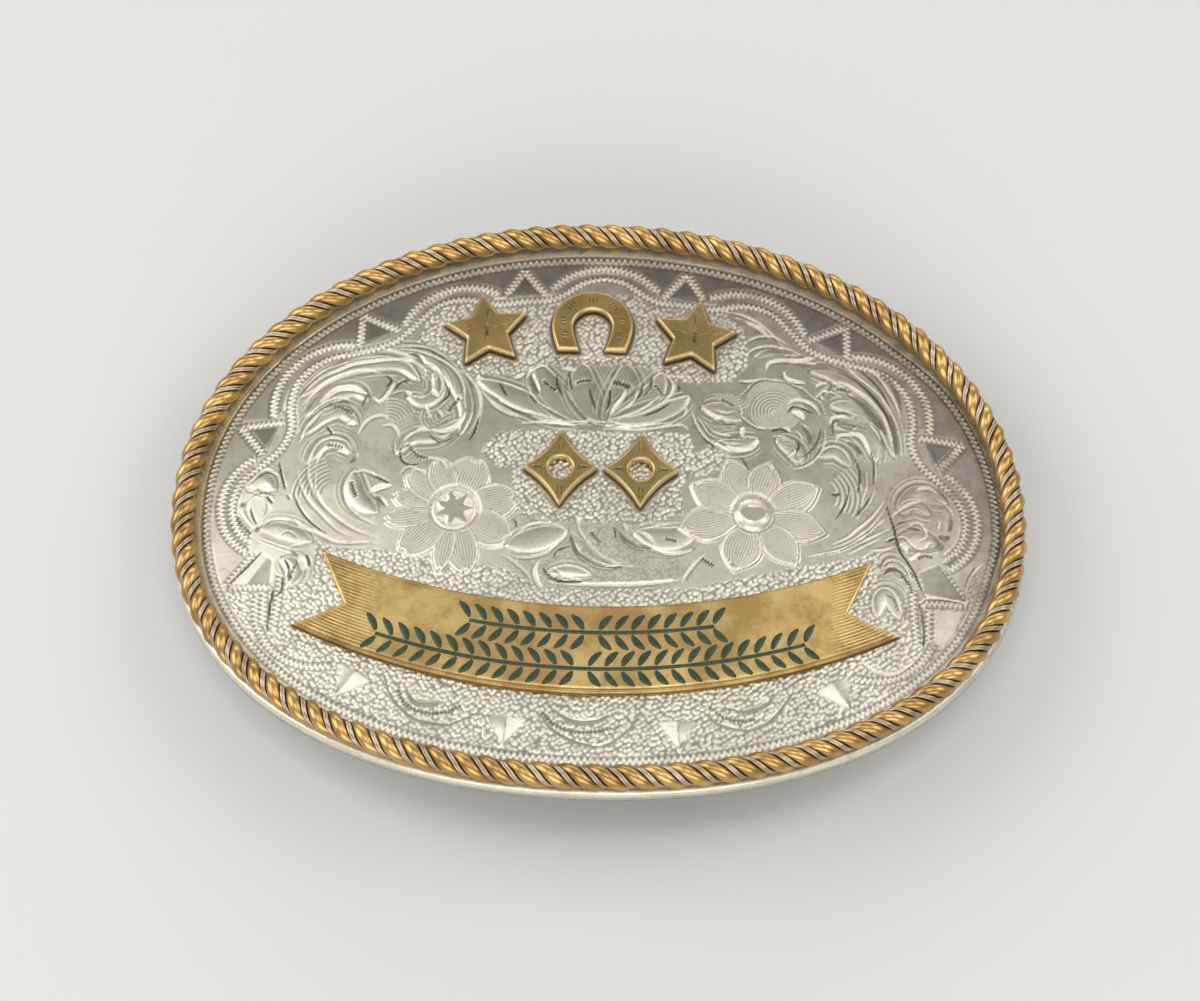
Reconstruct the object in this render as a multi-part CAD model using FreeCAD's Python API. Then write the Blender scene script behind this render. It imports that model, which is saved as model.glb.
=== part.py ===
import FreeCAD, Part
import math
import os
from FreeCAD import Vector

# Oval western trophy belt buckle, lying face up. Units are millimetres.
# +X is to the wearer's left along the long axis, +Y is up on the belt, +Z is out of the front.
# The origin is on the surface that the buckle lies on, under the middle of the plate.

# The plate
HALF_LENGTH = 47.5            # half of the 3 3/4 inch length
HALF_HEIGHT = 34.76           # half of the 2 3/4 inch height
OVAL_POWER = 2.11             # 2 is an ellipse, more is squarer
OUTLINE_POINTS = 32
PLATE_THICKNESS = 1.6
BEND_RADIUS = 225.0           # of the front surface, about an axis along Y
CROWN_Z = 12.2                # height of the front surface in the middle
GAP = 0.1                     # between a piece and the plate that it is soldered to

# The rope edge
ROPE_RADIUS = 1.4
ROPE_TWISTS = 44              # whole turns round the plate, two thick strands in each
SECTIONS_PER_TWIST = 10
ROPE_SIDES = 12
GROOVE_DEPTH = 0.5            # of the hollow between two thick strands
HOLLOW_SHARPNESS = 1.5        # more is a narrower hollow
THIN_STRAND_FILL = 0.2        # how far the thin strand fills that hollow
THIN_STRAND_SHARPNESS = 3.5   # more is a thinner strand
ROPE_PATH_POINTS = 2000

# Low relief of the plate, above the front surface
RELIEF_ROOT = 0.3             # how far a relief solid goes into the plate
RIB_HEIGHT = 0.12
LEAF_HEIGHT = 0.2
THORN_HEIGHT = 0.26
PALMETTE_HEIGHT = 0.23
PETAL_HEIGHT = 0.34
DOME_HEIGHT = 0.9
RIB_WIDTH = 0.9
BORDER_INSET = 3.8            # of the border line's middle from the plate's edge

# Twelve thorns point outwards from the scalloped frame. One quarter of them is listed:
# tip, and the two feet.
THORNS = [
    ((9.3, 29.5), (11.3, 26.2), (6.7, 26.2)),
    ((27.6, 23.9), (27.7, 19.8), (23.3, 21.7)),
    ((40.7, 10.0), (35.8, 10.3), (37.8, 6.3)),
]

# Scallops between the thorns: first end, top and last end of the outer line's middle.
SCALLOPS_ON_AXES = [
    ((-6.1, 26.9), (0.0, 30.0), (6.1, 26.9)),
    ((38.6, 5.9), (42.1, 0.0), (38.6, -5.9)),
]
SCALLOPS_IN_QUARTERS = [
    ((12.0, 26.4), (18.2, 26.9), (22.8, 22.3)),
    ((28.2, 20.0), (34.9, 17.8), (36.9, 11.0)),
]

# Scrolls of the right half, mirrored for the left: x, y, half width.
SCROLL_BANDS = [
    [(23.5, -5.2, 0.25), (29.5, -2.2, 0.6), (33.0, 3.0, 0.9), (33.2, 9.5, 0.9), (30.0, 15.6, 0.8),
     (24.0, 18.4, 0.7), (18.4, 17.2, 0.6), (14.6, 14.0, 0.45), (13.2, 10.6, 0.25)],
    [(24.4, -3.4, 0.2), (28.8, 0.8, 0.5), (30.4, 6.0, 0.8), (29.4, 11.0, 0.7), (26.4, 14.6, 0.3)],
    [(24.0, 4.6, 0.2), (26.4, 6.8, 0.55), (26.2, 9.8, 0.75), (23.6, 13.4, 0.7), (19.6, 15.2, 0.6),
     (16.4, 12.6, 0.5), (17.4, 9.4, 0.4), (20.8, 8.8, 0.25)],
]
SCROLL_EYE = (20.4, 11.8, 1.9)

FLOWERS = [
    {"x": -15.9, "y": -1.4, "petals": 9, "petal_length": 7.3, "petal_width": 4.2, "eye": 2.5},
    {"x": 17.1, "y": -1.0, "petals": 10, "petal_length": 7.6, "petal_width": 3.6, "eye": 2.2},
]

PALMETTE_BASE = (-1.2, 9.2)
PALMETTE_TIPS = [(-13.2, 14.6), (-8.6, 16.4), (-4.4, 16.9), (-0.6, 17.0), (3.4, 16.8), (7.2, 15.8),
                 (9.8, 11.6)]
PALMETTE_PETAL_WIDTH = 3.6
FLOWER_EYE_MARGIN = 1.0       # of the petals' joined roots round the eye

# Raised figures and ribbon
FIGURE_HEIGHT = 1.0
FIGURE_CHAMFER = 0.3
LAYER_OVERLAP = 0.05          # of one layer of a bevel with the next
RIBBON_HEIGHT = 0.6
RIBBON_ARC_RADIUS = 68.0
RIBBON_MIDDLE_X = -0.3
RIBBON_TOP_Y = -13.2
RIBBON_BOTTOM_Y = -23.6
TAIL_TOP_X = 30.2
TAIL_NOTCH_X = 27.3
TAIL_NOTCH_Y = -12.5
TAIL_BOTTOM_X = 33.0

# Stars: x, y, reach of the tips and turn in radians.
FIGURE_STARS = {"star_left": (-13.3, 21.2, 4.9, math.radians(8)),
                "star_right": (10.3, 20.9, 4.9, math.radians(-8))}
STAR_INNER_SHARE = 0.5        # of the hollow corners' reach to the tips' reach

HORSESHOE = {"x": -1.3, "y": 21.7, "outer_radius": 4.6, "wall": 2.4, "leg": 3.1, "knee": 1.6,
             "spread": 0.75}

LOZENGES = {"lozenge_left": (-4.35, 3.5), "lozenge_right": (4.55, 3.4)}
LOZENGE_HALF_WIDTH = 4.1
LOZENGE_HALF_HEIGHT = 4.7
LOZENGE_PINCH = 0.4           # how far the sides bow inwards
LOZENGE_HOLE = 1.3
LOZENGE_TIP_SHRINK = 1.5      # how far the tips move in for each millimetre of inset

# Belt loop and hook on the back
WIRE_RADIUS = 1.6
LOOP_X = 31.0
LOOP_INNER_WIDTH = 40.0       # for a strap 38 mm (1 1/2 inch) wide
LOOP_CORNER_RADIUS = 3.4      # of the wire's centre line
HOOK_X = -33.0
HOOK_RADIUS = 2.25
HOOK_TIP_CHAMFER = 0.7
FOOT_RADIUS = 3.0
FOOT_THICKNESS = 0.8

UP = Vector(0, 0, 1)
ALONG_Y = Vector(0, 1, 0)
BEND_AXIS_Z = CROWN_Z - BEND_RADIUS
REACH = 60.0                  # beyond every piece


def front_z(x):
    """Height of the plate's front surface over x."""
    return BEND_AXIS_Z + math.sqrt(BEND_RADIUS ** 2 - x * x)


def oval_point(angle, inset=0.0):
    """Point of the plate's outline, a superellipse, moved inwards square to it by inset."""
    c, s = math.cos(angle), math.sin(angle)
    power = 2.0 / OVAL_POWER
    x = HALF_LENGTH * math.copysign(abs(c) ** power, c)
    y = HALF_HEIGHT * math.copysign(abs(s) ** power, s)
    nx = math.copysign((abs(x) / HALF_LENGTH) ** (OVAL_POWER - 1) / HALF_LENGTH, x)
    ny = math.copysign((abs(y) / HALF_HEIGHT) ** (OVAL_POWER - 1) / HALF_HEIGHT, y)
    size = math.hypot(nx, ny)
    return Vector(x - inset * nx / size, y - inset * ny / size, 0)


def oval_wire(inset=0.0):
    """Closed smooth curve through points of the oval."""
    turn = 2 * math.pi / OUTLINE_POINTS
    curve = Part.BSplineCurve()
    curve.interpolate([oval_point(turn * i, inset) for i in range(OUTLINE_POINTS)], PeriodicFlag=True)
    return Part.Wire([curve.toShape()])


def bend_cylinder(offset):
    """Solid cylinder about the bend's axis, offset outwards from the plate's front surface."""
    return Part.makeCylinder(BEND_RADIUS + offset, 2 * REACH, Vector(0, -REACH, BEND_AXIS_Z), ALONG_Y)


def layer(face, low, high):
    """The part of a flat outline's prism between two offsets from the plate's front surface."""
    prism = face.extrude(Vector(0, 0, 2 * CROWN_Z))
    return prism.common(bend_cylinder(high)).cut(bend_cylinder(low))


def union(faces):
    """Flat faces joined into one outline."""
    if len(faces) == 1:
        return faces[0]
    return faces[0].fuse(faces[1:]).removeSplitter()


def largest_solid(shape):
    """The one solid of a shape that should have no other."""
    return max(shape.Solids, key=lambda solid: solid.Volume)


def arc(first, middle, last):
    """Edge of a circle through three points of the plan."""
    return Part.Arc(Vector(*first, 0), Vector(*middle, 0), Vector(*last, 0)).toShape()


def line(first, last):
    """Straight edge between two points of the plan."""
    return Part.LineSegment(Vector(*first, 0), Vector(*last, 0)).toShape()


def polygon(points):
    """Flat face with straight sides."""
    corners = [Vector(x, y, 0) for x, y in points]
    return Part.Face(Part.makePolygon(corners + corners[:1]))


def disc(x, y, radius):
    """Flat round face."""
    return Part.Face(Part.Wire([Part.Circle(Vector(x, y, 0), UP, radius).toShape()]))


def lens(start, end, width):
    """Leaf between two points: two arcs that bulge to each side."""
    dx, dy = end[0] - start[0], end[1] - start[1]
    length = math.hypot(dx, dy)
    nx, ny = -dy / length, dx / length
    mx, my = (start[0] + end[0]) / 2, (start[1] + end[1]) / 2
    left = (mx + nx * width / 2, my + ny * width / 2)
    right = (mx - nx * width / 2, my - ny * width / 2)
    return Part.Face(Part.Wire([arc(start, left, end), arc(end, right, start)]))


def arc_rib(first, middle, last, width=RIB_WIDTH):
    """Flat band of constant width along an arc through three points."""
    circle = arc(first, middle, last).Curve
    centre, radius = circle.Center, circle.Radius

    def moved(point, by):
        away = Vector(*point, 0) - centre
        end = centre + away * ((radius + by) / radius)
        return end.x, end.y

    outer = [moved(point, width / 2) for point in (first, middle, last)]
    inner = [moved(point, -width / 2) for point in (first, middle, last)]
    edges = [arc(*outer), line(outer[2], inner[2]), arc(*reversed(inner)), line(inner[0], outer[0])]
    return Part.Face(Part.Wire(edges))


def tapered_band(rows):
    """Flat band along a smooth curve. Each row is x, y and the half width there."""
    spine = Part.BSplineCurve()
    spine.interpolate([Vector(x, y, 0) for x, y, _ in rows])
    sides = ([], [])
    for x, y, half in rows:
        tangent = spine.tangent(spine.parameter(Vector(x, y, 0)))[0]
        normal = Vector(-tangent.y, tangent.x, 0)
        sides[0].append(Vector(x, y, 0) + normal * half)
        sides[1].append(Vector(x, y, 0) - normal * half)
    edges = []
    for points in (sides[0], sides[1][::-1]):
        curve = Part.BSplineCurve()
        curve.interpolate(points)
        edges.append(curve.toShape())
    caps = [Part.LineSegment(sides[0][-1], sides[1][-1]).toShape(),
            Part.LineSegment(sides[1][0], sides[0][0]).toShape()]
    return Part.Face(Part.Wire([edges[0], caps[0], edges[1], caps[1]]))


def mirrored(points, sx, sy):
    """Points of one quarter of the plate moved to another quarter."""
    return [(x * sx, y * sy) for x, y in points]


def ribbon_top_y(x):
    """The ribbon's upper edge, an arc that hangs in the middle."""
    return RIBBON_TOP_Y + RIBBON_ARC_RADIUS - math.sqrt(RIBBON_ARC_RADIUS ** 2 - (x - RIBBON_MIDDLE_X) ** 2)


def ribbon_face(grow=0.0):
    """Banner between two equal arcs, with a swallowtail at each end."""
    drop = RIBBON_BOTTOM_Y - RIBBON_TOP_Y - grow
    tops = [(s * TAIL_TOP_X, ribbon_top_y(s * TAIL_TOP_X) + grow) for s in (-1, 1)]
    bottoms = [(s * TAIL_BOTTOM_X, ribbon_top_y(s * TAIL_BOTTOM_X) + drop) for s in (-1, 1)]
    notches = [(s * TAIL_NOTCH_X, TAIL_NOTCH_Y) for s in (-1, 1)]
    top_middle = (RIBBON_MIDDLE_X, RIBBON_TOP_Y + grow)
    bottom_middle = (RIBBON_MIDDLE_X, RIBBON_TOP_Y + drop)
    edges = [arc(tops[0], top_middle, tops[1]), line(tops[1], notches[1]), line(notches[1], bottoms[1]),
             arc(bottoms[1], bottom_middle, bottoms[0]), line(bottoms[0], notches[0]),
             line(notches[0], tops[0])]
    return Part.Face(Part.Wire(edges))


def thorn_faces():
    """The twelve thorns."""
    faces = []
    for points in THORNS:
        for sx in (-1, 1):
            for sy in (-1, 1):
                faces.append(polygon(mirrored(points, sx, sy)))
    return faces


def frame_faces():
    """Ribs along the scallops and round the border."""
    ribs = [arc_rib(*mirrored(SCALLOPS_ON_AXES[0], 1, s)) for s in (-1, 1)]
    ribs += [arc_rib(*mirrored(SCALLOPS_ON_AXES[1], s, 1)) for s in (-1, 1)]
    for points in SCALLOPS_IN_QUARTERS:
        for sx in (-1, 1):
            for sy in (-1, 1):
                ribs.append(arc_rib(*mirrored(points, sx, sy)))
    border = Part.Face(oval_wire(BORDER_INSET - RIB_WIDTH / 2)).cut(
        Part.Face(oval_wire(BORDER_INSET + RIB_WIDTH / 2)))
    return ribs + [border.Faces[0]]


def scroll_faces():
    """Scroll stems and their round eyes, on both sides."""
    faces = []
    for side in (-1, 1):
        for rows in SCROLL_BANDS:
            faces.append(tapered_band([(side * x, y, half) for x, y, half in rows]))
        x, y, radius = SCROLL_EYE
        faces.append(disc(side * x, y, radius))
    return faces


def palmette_faces():
    """Petals that fan out of one point above the middle."""
    return [lens(PALMETTE_BASE, tip, PALMETTE_PETAL_WIDTH) for tip in PALMETTE_TIPS]


def flower_face(flower):
    """Petals round a disc, joined into one outline."""
    x, y = flower["x"], flower["y"]
    faces = [disc(x, y, flower["eye"] + FLOWER_EYE_MARGIN)]
    for i in range(flower["petals"]):
        turn = 2 * math.pi * (i + 0.5) / flower["petals"]
        tip = (x + flower["petal_length"] * math.cos(turn), y + flower["petal_length"] * math.sin(turn))
        root = (x + math.cos(turn), y + math.sin(turn))
        faces.append(lens(root, tip, flower["petal_width"]))
    return union(faces)


def dome(x, y, radius):
    """Low round dome on the plate, a cap of a sphere."""
    base = front_z(x) - RELIEF_ROOT
    rise = DOME_HEIGHT + RELIEF_ROOT
    ball_radius = (radius ** 2 + rise ** 2) / (2 * rise)
    ball = Part.makeSphere(ball_radius, Vector(x, y, base + rise - ball_radius))
    return ball.common(Part.makeCylinder(radius + 1, CROWN_Z, Vector(x, y, base), UP))


def plate():
    """Bent oval sheet with its engraved work raised on it."""
    sheet = layer(Part.Face(oval_wire()), -PLATE_THICKNESS, 0.0)
    reliefs = [layer(face, -RELIEF_ROOT, RIB_HEIGHT) for face in frame_faces()]
    reliefs += [layer(face, -RELIEF_ROOT, THORN_HEIGHT) for face in thorn_faces()]
    reliefs.append(layer(union(scroll_faces()), -RELIEF_ROOT, LEAF_HEIGHT))
    reliefs.append(layer(union(palmette_faces()), -RELIEF_ROOT, PALMETTE_HEIGHT))
    for flower in FLOWERS:
        reliefs.append(layer(flower_face(flower), -RELIEF_ROOT, PETAL_HEIGHT))
        reliefs.append(dome(flower["x"], flower["y"], flower["eye"]))
    return largest_solid(sheet.fuse(reliefs))


def rope_path():
    """Centre line of the rope: points, and lengths along it."""
    points = []
    for i in range(ROPE_PATH_POINTS + 1):
        p = oval_point(2 * math.pi * i / ROPE_PATH_POINTS, ROPE_RADIUS)
        points.append(Vector(p.x, p.y, front_z(p.x) + GAP + ROPE_RADIUS))
    lengths = [0.0]
    for first, second in zip(points, points[1:]):
        lengths.append(lengths[-1] + first.distanceToPoint(second))
    return points, lengths


def strand_radius(angle):
    """Section of the rope: two thick strands, with a thin strand in each hollow between them."""
    across = abs(math.cos(angle))
    hollow = GROOVE_DEPTH * (1 - across) ** HOLLOW_SHARPNESS
    filled = THIN_STRAND_FILL * max(0.0, 1 - THIN_STRAND_SHARPNESS * across)
    return ROPE_RADIUS - hollow + filled


def rope_edge():
    """Twisted rope round the edge, as one faceted closed ring."""
    points, lengths = rope_path()
    sections = ROPE_TWISTS * SECTIONS_PER_TWIST
    rings = []
    index = 0
    for k in range(sections):
        target = lengths[-1] * k / sections
        while lengths[index + 1] < target:
            index += 1
        share = (target - lengths[index]) / (lengths[index + 1] - lengths[index])
        centre = points[index] + (points[index + 1] - points[index]) * share
        tangent = (points[index + 1] - points[index]).normalize()
        outward = tangent.cross(UP).normalize()
        upward = outward.cross(tangent)
        twist = -2 * math.pi * k / SECTIONS_PER_TWIST
        ring = []
        for j in range(ROPE_SIDES):
            round_rope = 2 * math.pi * j / ROPE_SIDES
            radius, angle = strand_radius(round_rope), round_rope + twist
            ring.append(centre + outward * (radius * math.cos(angle)) + upward * (radius * math.sin(angle)))
        rings.append(ring)
    corners = [corner for ring in rings for corner in ring]
    facets = []
    for k in range(sections):
        here, there = k * ROPE_SIDES, (k + 1) % sections * ROPE_SIDES
        for j in range(ROPE_SIDES):
            beside = (j + 1) % ROPE_SIDES
            facets.append((here + j, there + j, there + beside))
            facets.append((here + j, there + beside, here + beside))
    skin = Part.Shape()
    skin.makeShapeFromMesh((corners, facets), 0.001, False)
    return Part.Solid(Part.Shell(skin.Faces))


def bevelled(face_at, height, bevel):
    """Raised piece with a stepped edge all round: three layers, each smaller than the one below."""
    shoulder, middle = height - bevel, height - bevel / 2
    lowest = layer(face_at(0.0), GAP, shoulder)
    upper = [layer(face_at(bevel / 2), shoulder - LAYER_OVERLAP, middle),
             layer(face_at(bevel), middle - LAYER_OVERLAP, height)]
    return largest_solid(lowest.fuse(upper))


def ribbon():
    """The bronze banner."""
    return largest_solid(layer(ribbon_face(), GAP, RIBBON_HEIGHT))


def star_face(x, y, radius, turn, inset):
    """Five-pointed star, moved inwards by inset."""
    inner = radius * STAR_INNER_SHARE
    side = math.hypot(radius - inner * math.cos(math.radians(36)), inner * math.sin(math.radians(36)))
    shrink = inset * side / (radius * inner * math.sin(math.radians(36)))
    corners = []
    for i in range(10):
        reach = (radius if i % 2 == 0 else inner) * (1 - shrink)
        angle = math.radians(90 + 36 * i) + turn
        corners.append((x + reach * math.cos(angle), y + reach * math.sin(angle)))
    return polygon(corners)


def horseshoe_face(inset):
    """Horseshoe with its heels down: a round arch on two legs that close in a little."""
    x, y, spread = HORSESHOE["x"], HORSESHOE["y"], HORSESHOE["spread"]
    outer = HORSESHOE["outer_radius"] - inset
    inner = HORSESHOE["outer_radius"] - HORSESHOE["wall"] + inset

    def leg_side(radius, side):
        """One side of a leg, as three points from the arch down to the heel."""
        knee = (x + side * (radius - spread / 4), y - HORSESHOE["knee"])
        heel = (x + side * (radius - spread), y - HORSESHOE["leg"] + inset)
        return [(x + side * radius, y), knee, heel]

    left_outer, right_outer = leg_side(outer, -1), leg_side(outer, 1)
    left_inner, right_inner = leg_side(inner, -1), leg_side(inner, 1)
    edges = [arc(left_outer[0], (x, y + outer), right_outer[0]),
             arc(*right_outer), line(right_outer[2], right_inner[2]), arc(*reversed(right_inner)),
             arc(right_inner[0], (x, y + inner), left_inner[0]),
             arc(*left_inner), line(left_inner[2], left_outer[2]), arc(*reversed(left_outer))]
    return Part.Face(Part.Wire(edges))


def lozenge_face(x, y, inset):
    """Upright lozenge with hollow sides and a round hole."""
    half_width = LOZENGE_HALF_WIDTH - LOZENGE_TIP_SHRINK * inset
    half_height = LOZENGE_HALF_HEIGHT - LOZENGE_TIP_SHRINK * inset
    tips = [(x + half_width, y), (x, y + half_height), (x - half_width, y), (x, y - half_height)]
    edges = []
    for first, last in zip(tips, tips[1:] + tips[:1]):
        mx, my = (first[0] + last[0]) / 2 - x, (first[1] + last[1]) / 2 - y
        pinch = 1 - LOZENGE_PINCH / math.hypot(mx, my)
        edges.append(arc(first, (x + mx * pinch, y + my * pinch), last))
    return Part.Face(Part.Wire(edges)).cut(disc(x, y, LOZENGE_HOLE + inset)).Faces[0]


def foot(x, y):
    """Round pad that a back piece stands on."""
    back = front_z(x) - PLATE_THICKNESS
    return Part.makeCylinder(FOOT_RADIUS, 2 * FOOT_THICKNESS, Vector(x, y, back - FOOT_THICKNESS - GAP), UP)


def under_plate(shape):
    """A back piece, cut to the shape of the plate's back."""
    return largest_solid(shape.common(bend_cylinder(-PLATE_THICKNESS - GAP)))


def belt_loop():
    """Round wire bent into a staple across the back, on two pads."""
    side_y = LOOP_INNER_WIDTH / 2 + WIRE_RADIUS
    top = front_z(LOOP_X) - PLATE_THICKNESS - FOOT_THICKNESS / 2
    low = WIRE_RADIUS
    r = LOOP_CORNER_RADIUS
    slack = r * (1 - math.sqrt(0.5))

    def at(y, z):
        return Vector(LOOP_X, y, z)

    edges = [
        Part.LineSegment(at(-side_y, top), at(-side_y, low + r)).toShape(),
        Part.Arc(at(-side_y, low + r), at(-side_y + slack, low + slack), at(-side_y + r, low)).toShape(),
        Part.LineSegment(at(-side_y + r, low), at(side_y - r, low)).toShape(),
        Part.Arc(at(side_y - r, low), at(side_y - slack, low + slack), at(side_y, low + r)).toShape(),
        Part.LineSegment(at(side_y, low + r), at(side_y, top)).toShape(),
    ]
    section = Part.Wire([Part.Circle(at(-side_y, top), UP, WIRE_RADIUS).toShape()])
    wire = Part.Wire(edges).makePipeShell([section], True, True)
    return under_plate(wire.fuse([foot(LOOP_X, -side_y), foot(LOOP_X, side_y)]))


def belt_hook():
    """Straight round post on a pad, its free end down."""
    top = front_z(HOOK_X) - PLATE_THICKNESS - FOOT_THICKNESS / 2
    post = Part.makeCylinder(HOOK_RADIUS, top, Vector(HOOK_X, 0, 0), UP)
    tip = [edge for edge in post.Edges if abs(edge.BoundBox.ZMax) < 0.001 and edge.BoundBox.XLength > 1]
    post = post.makeChamfer(HOOK_TIP_CHAMFER, tip)
    return under_plate(post.fuse(foot(HOOK_X, 0)))


def all_nodes():
    """Every node of the buckle, by name."""
    nodes = {"plate": plate(), "rope_edge": rope_edge(), "ribbon": ribbon()}
    for name, (x, y, radius, turn) in FIGURE_STARS.items():
        nodes[name] = bevelled(lambda inset: star_face(x, y, radius, turn, inset),
                               FIGURE_HEIGHT, FIGURE_CHAMFER)
    nodes["horseshoe"] = bevelled(horseshoe_face, FIGURE_HEIGHT, FIGURE_CHAMFER)
    for name, (x, y) in LOZENGES.items():
        nodes[name] = bevelled(lambda inset: lozenge_face(x, y, inset), FIGURE_HEIGHT, FIGURE_CHAMFER)
    nodes["belt_loop"] = belt_loop()
    nodes["belt_hook"] = belt_hook()
    return nodes


os.makedirs("parts", exist_ok=True)
for node_name, shape in all_nodes().items():
    shape.exportStep("parts/" + node_name + ".step")
    box = shape.BoundBox
    print("%-14s valid %s solids %d faces %d volume %.1f mm3 z %.2f..%.2f" % (
        node_name, shape.isValid(), len(shape.Solids), len(shape.Faces), shape.Volume, box.ZMin, box.ZMax))
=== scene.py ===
import math

import bpy
import numpy as np
from mathutils import Matrix, Vector


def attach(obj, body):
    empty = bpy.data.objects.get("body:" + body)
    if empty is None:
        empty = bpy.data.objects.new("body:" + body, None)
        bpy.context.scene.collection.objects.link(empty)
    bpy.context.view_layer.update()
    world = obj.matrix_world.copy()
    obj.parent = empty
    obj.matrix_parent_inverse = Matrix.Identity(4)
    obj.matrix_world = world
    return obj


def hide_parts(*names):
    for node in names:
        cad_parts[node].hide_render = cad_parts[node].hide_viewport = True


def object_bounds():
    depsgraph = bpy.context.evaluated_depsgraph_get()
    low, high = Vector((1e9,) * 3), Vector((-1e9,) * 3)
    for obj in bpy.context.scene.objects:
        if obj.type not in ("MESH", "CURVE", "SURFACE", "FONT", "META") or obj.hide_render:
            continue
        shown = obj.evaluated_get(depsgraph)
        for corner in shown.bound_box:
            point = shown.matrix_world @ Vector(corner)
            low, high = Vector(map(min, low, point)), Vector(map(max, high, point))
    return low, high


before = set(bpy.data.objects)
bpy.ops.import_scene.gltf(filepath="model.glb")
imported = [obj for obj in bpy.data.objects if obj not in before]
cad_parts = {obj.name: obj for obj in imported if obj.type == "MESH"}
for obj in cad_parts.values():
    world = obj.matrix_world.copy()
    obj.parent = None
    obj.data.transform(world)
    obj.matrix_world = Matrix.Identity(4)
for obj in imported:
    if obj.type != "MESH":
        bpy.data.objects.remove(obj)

cad_low, cad_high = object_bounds()

# Oval western trophy buckle, lying face up on a pale surface. Everything is worked out in
# millimetres, with X to the right, Y to the top of the buckle and the origin under its middle. It is
# turned into metres when a mesh is made.
MM = 0.001
TAU = math.tau

# The plate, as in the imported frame
HALF_LENGTH = 1000 * (cad_high.x - cad_low.x) / 2
HALF_HEIGHT = 1000 * (cad_high.y - cad_low.y) / 2
OVAL_POWER = 2.11             # 2 is an ellipse, more is squarer
PLATE_THICKNESS = 1.6
BEND_RADIUS = 225.0           # of the front surface, about an axis along Y
CROWN_Z = 12.2                # height of the front surface in the middle
GAP = 0.1                     # between a piece and the plate that it is soldered to
LIP_RADIUS = 0.45             # of the plate's rounded front edge
RIM_PLAIN = 2.7               # width of the band beside the edge, under the rope, that has no relief

# The plate's mesh: four strips side by side, with name, first and last place on X, and columns.
# The outer ones end just short of the oval's tips, so that every column has some height.
STRIP_END = 47.48
STRIP_JOINT = 22.0
PLATE_STRIPS = [("plate_outer_left", -STRIP_END, -STRIP_JOINT, 182),
                ("plate_inner_left", -STRIP_JOINT, 0.0, 157),
                ("plate_inner_right", 0.0, STRIP_JOINT, 157),
                ("plate_outer_right", STRIP_JOINT, STRIP_END, 182)]
FRONT_ROWS = 471
BACK_ROWS = 9
SIDE_LEVELS = 4

# The rope edge
ROPE_RADIUS = 1.4
ROPE_TWISTS = 44
THICK_STRAND = (0.66, 0.73)   # distance from the rope's middle, radius
THIN_STRAND = (1.0, 0.17)
THIN_STRAND_PHASES = (1.39, 1.75, 4.53, 4.89)   # two side by side in each hollow, in radians
THICK_STRAND_PHASES = (0.0, math.pi)
THICK_STEPS = 24              # rings of points in one twist
THIN_STEPS = 18
THICK_SIDES = 16              # points in a ring
THIN_SIDES = 8
SOLDER_DROP = {"x": 37.3, "y": 20.9, "rise": 1.1, "size": (1.15, 0.8, 1.1)}

# The border, the scallops and the thorns
BORDER_INSET = 3.8            # of the wriggle line all round, from the plate's edge
BORDER_SHIFT = 0.6            # how much nearer to the edge it lies at the upper right
BORDER_PITCH_SHARE = 0.8      # of the other lines' teeth to the border's longer ones
TOOTH_PITCH = 0.57            # of the wriggle cut lines
TOOTH_SWING = 0.3
TOOTH_HEIGHT = 0.15
TOOTH_HALF = 0.27             # half width of the zigzag's ridge
WRIGGLE_HALF = 0.66           # half width of the groove that it stands in
WRIGGLE_DEPTH = 0.06
GROUND_PITCH = 0.5            # of the punched ground
GROUND_HEIGHT = 0.13
GROUND_TURN = 0.62            # of the lattice that the punch marks lie on, in radians
SAND_PITCH = 0.42             # of the finer grain under the lozenges
ECHO_PITCH = 0.46             # of the fine lines round each leaf
ECHO_REACH = 1.5
ECHO_HEIGHT = 0.035
ARC_HEIGHT = 0.045            # of the fine concentric arcs
PETAL_PITCH = 0.66            # of the fine lines at a petal's widest place
EYE_RAYS = 7                  # of the star in the left flower's eye
BAND_DEPTH = 0.1              # of the sunk band in each scallop
FRAME_HALF = (38.2, 26.6)     # half sizes of the superellipse that the scallops stand on
FRAME_POWER = 2.2
LOWER_ROW_Y = -20.0           # scallops and thorns below this have their own forms
PLAIN_SCALLOP_Y = -10.0       # scallops below this have no smooth band
THORN_FACET_SHARE = 0.7       # of a thorn's facet to the thorn
LOW_THORN_HALF = 2.2          # half width of a lower thorn at its foot

# Scallops between the thorns: first end, top and last end of the outer line.
SCALLOPS_ON_AXES = [
    ((-6.1, 26.9), (0.0, 30.0), (6.1, 26.9)),
    ((38.6, 5.9), (42.1, 0.0), (38.6, -5.9)),
]
SCALLOPS_IN_QUARTERS = [
    ((12.0, 26.4), (18.2, 26.9), (22.8, 22.3)),
    ((28.2, 20.0), (34.9, 17.8), (36.9, 11.0)),
]
SCALLOP_INNER = 1.75          # from the outer line to the inner one
# The inner line of the upper half's frame, from the top's middle to the end, right side.
INNER_LINE = [(0, 28.7), (2.2, 28.1), (4.4, 26.5), (6.2, 25.6), (9, 25.4), (11.8, 25), (13.6, 25.2),
              (16, 25.7), (19, 25), (21.4, 22.5), (23.3, 20.5), (25.6, 19.5), (28, 19), (31.5, 18.2),
              (34.3, 15.7), (35.1, 12.4), (34.8, 9.5), (35.7, 7), (37.5, 5.2), (39.9, 3), (40.8, 0),
              (40.1, -2.8), (38.6, -4.6)]

# Thorns of one quarter: tip, and the two feet.
THORNS = [
    ((9.3, 29.5), (11.3, 26.2), (6.7, 26.2)),
    ((27.6, 23.9), (27.7, 19.8), (23.3, 21.7)),
    ((40.7, 10.0), (35.8, 10.3), (37.8, 6.3)),
]

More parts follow.
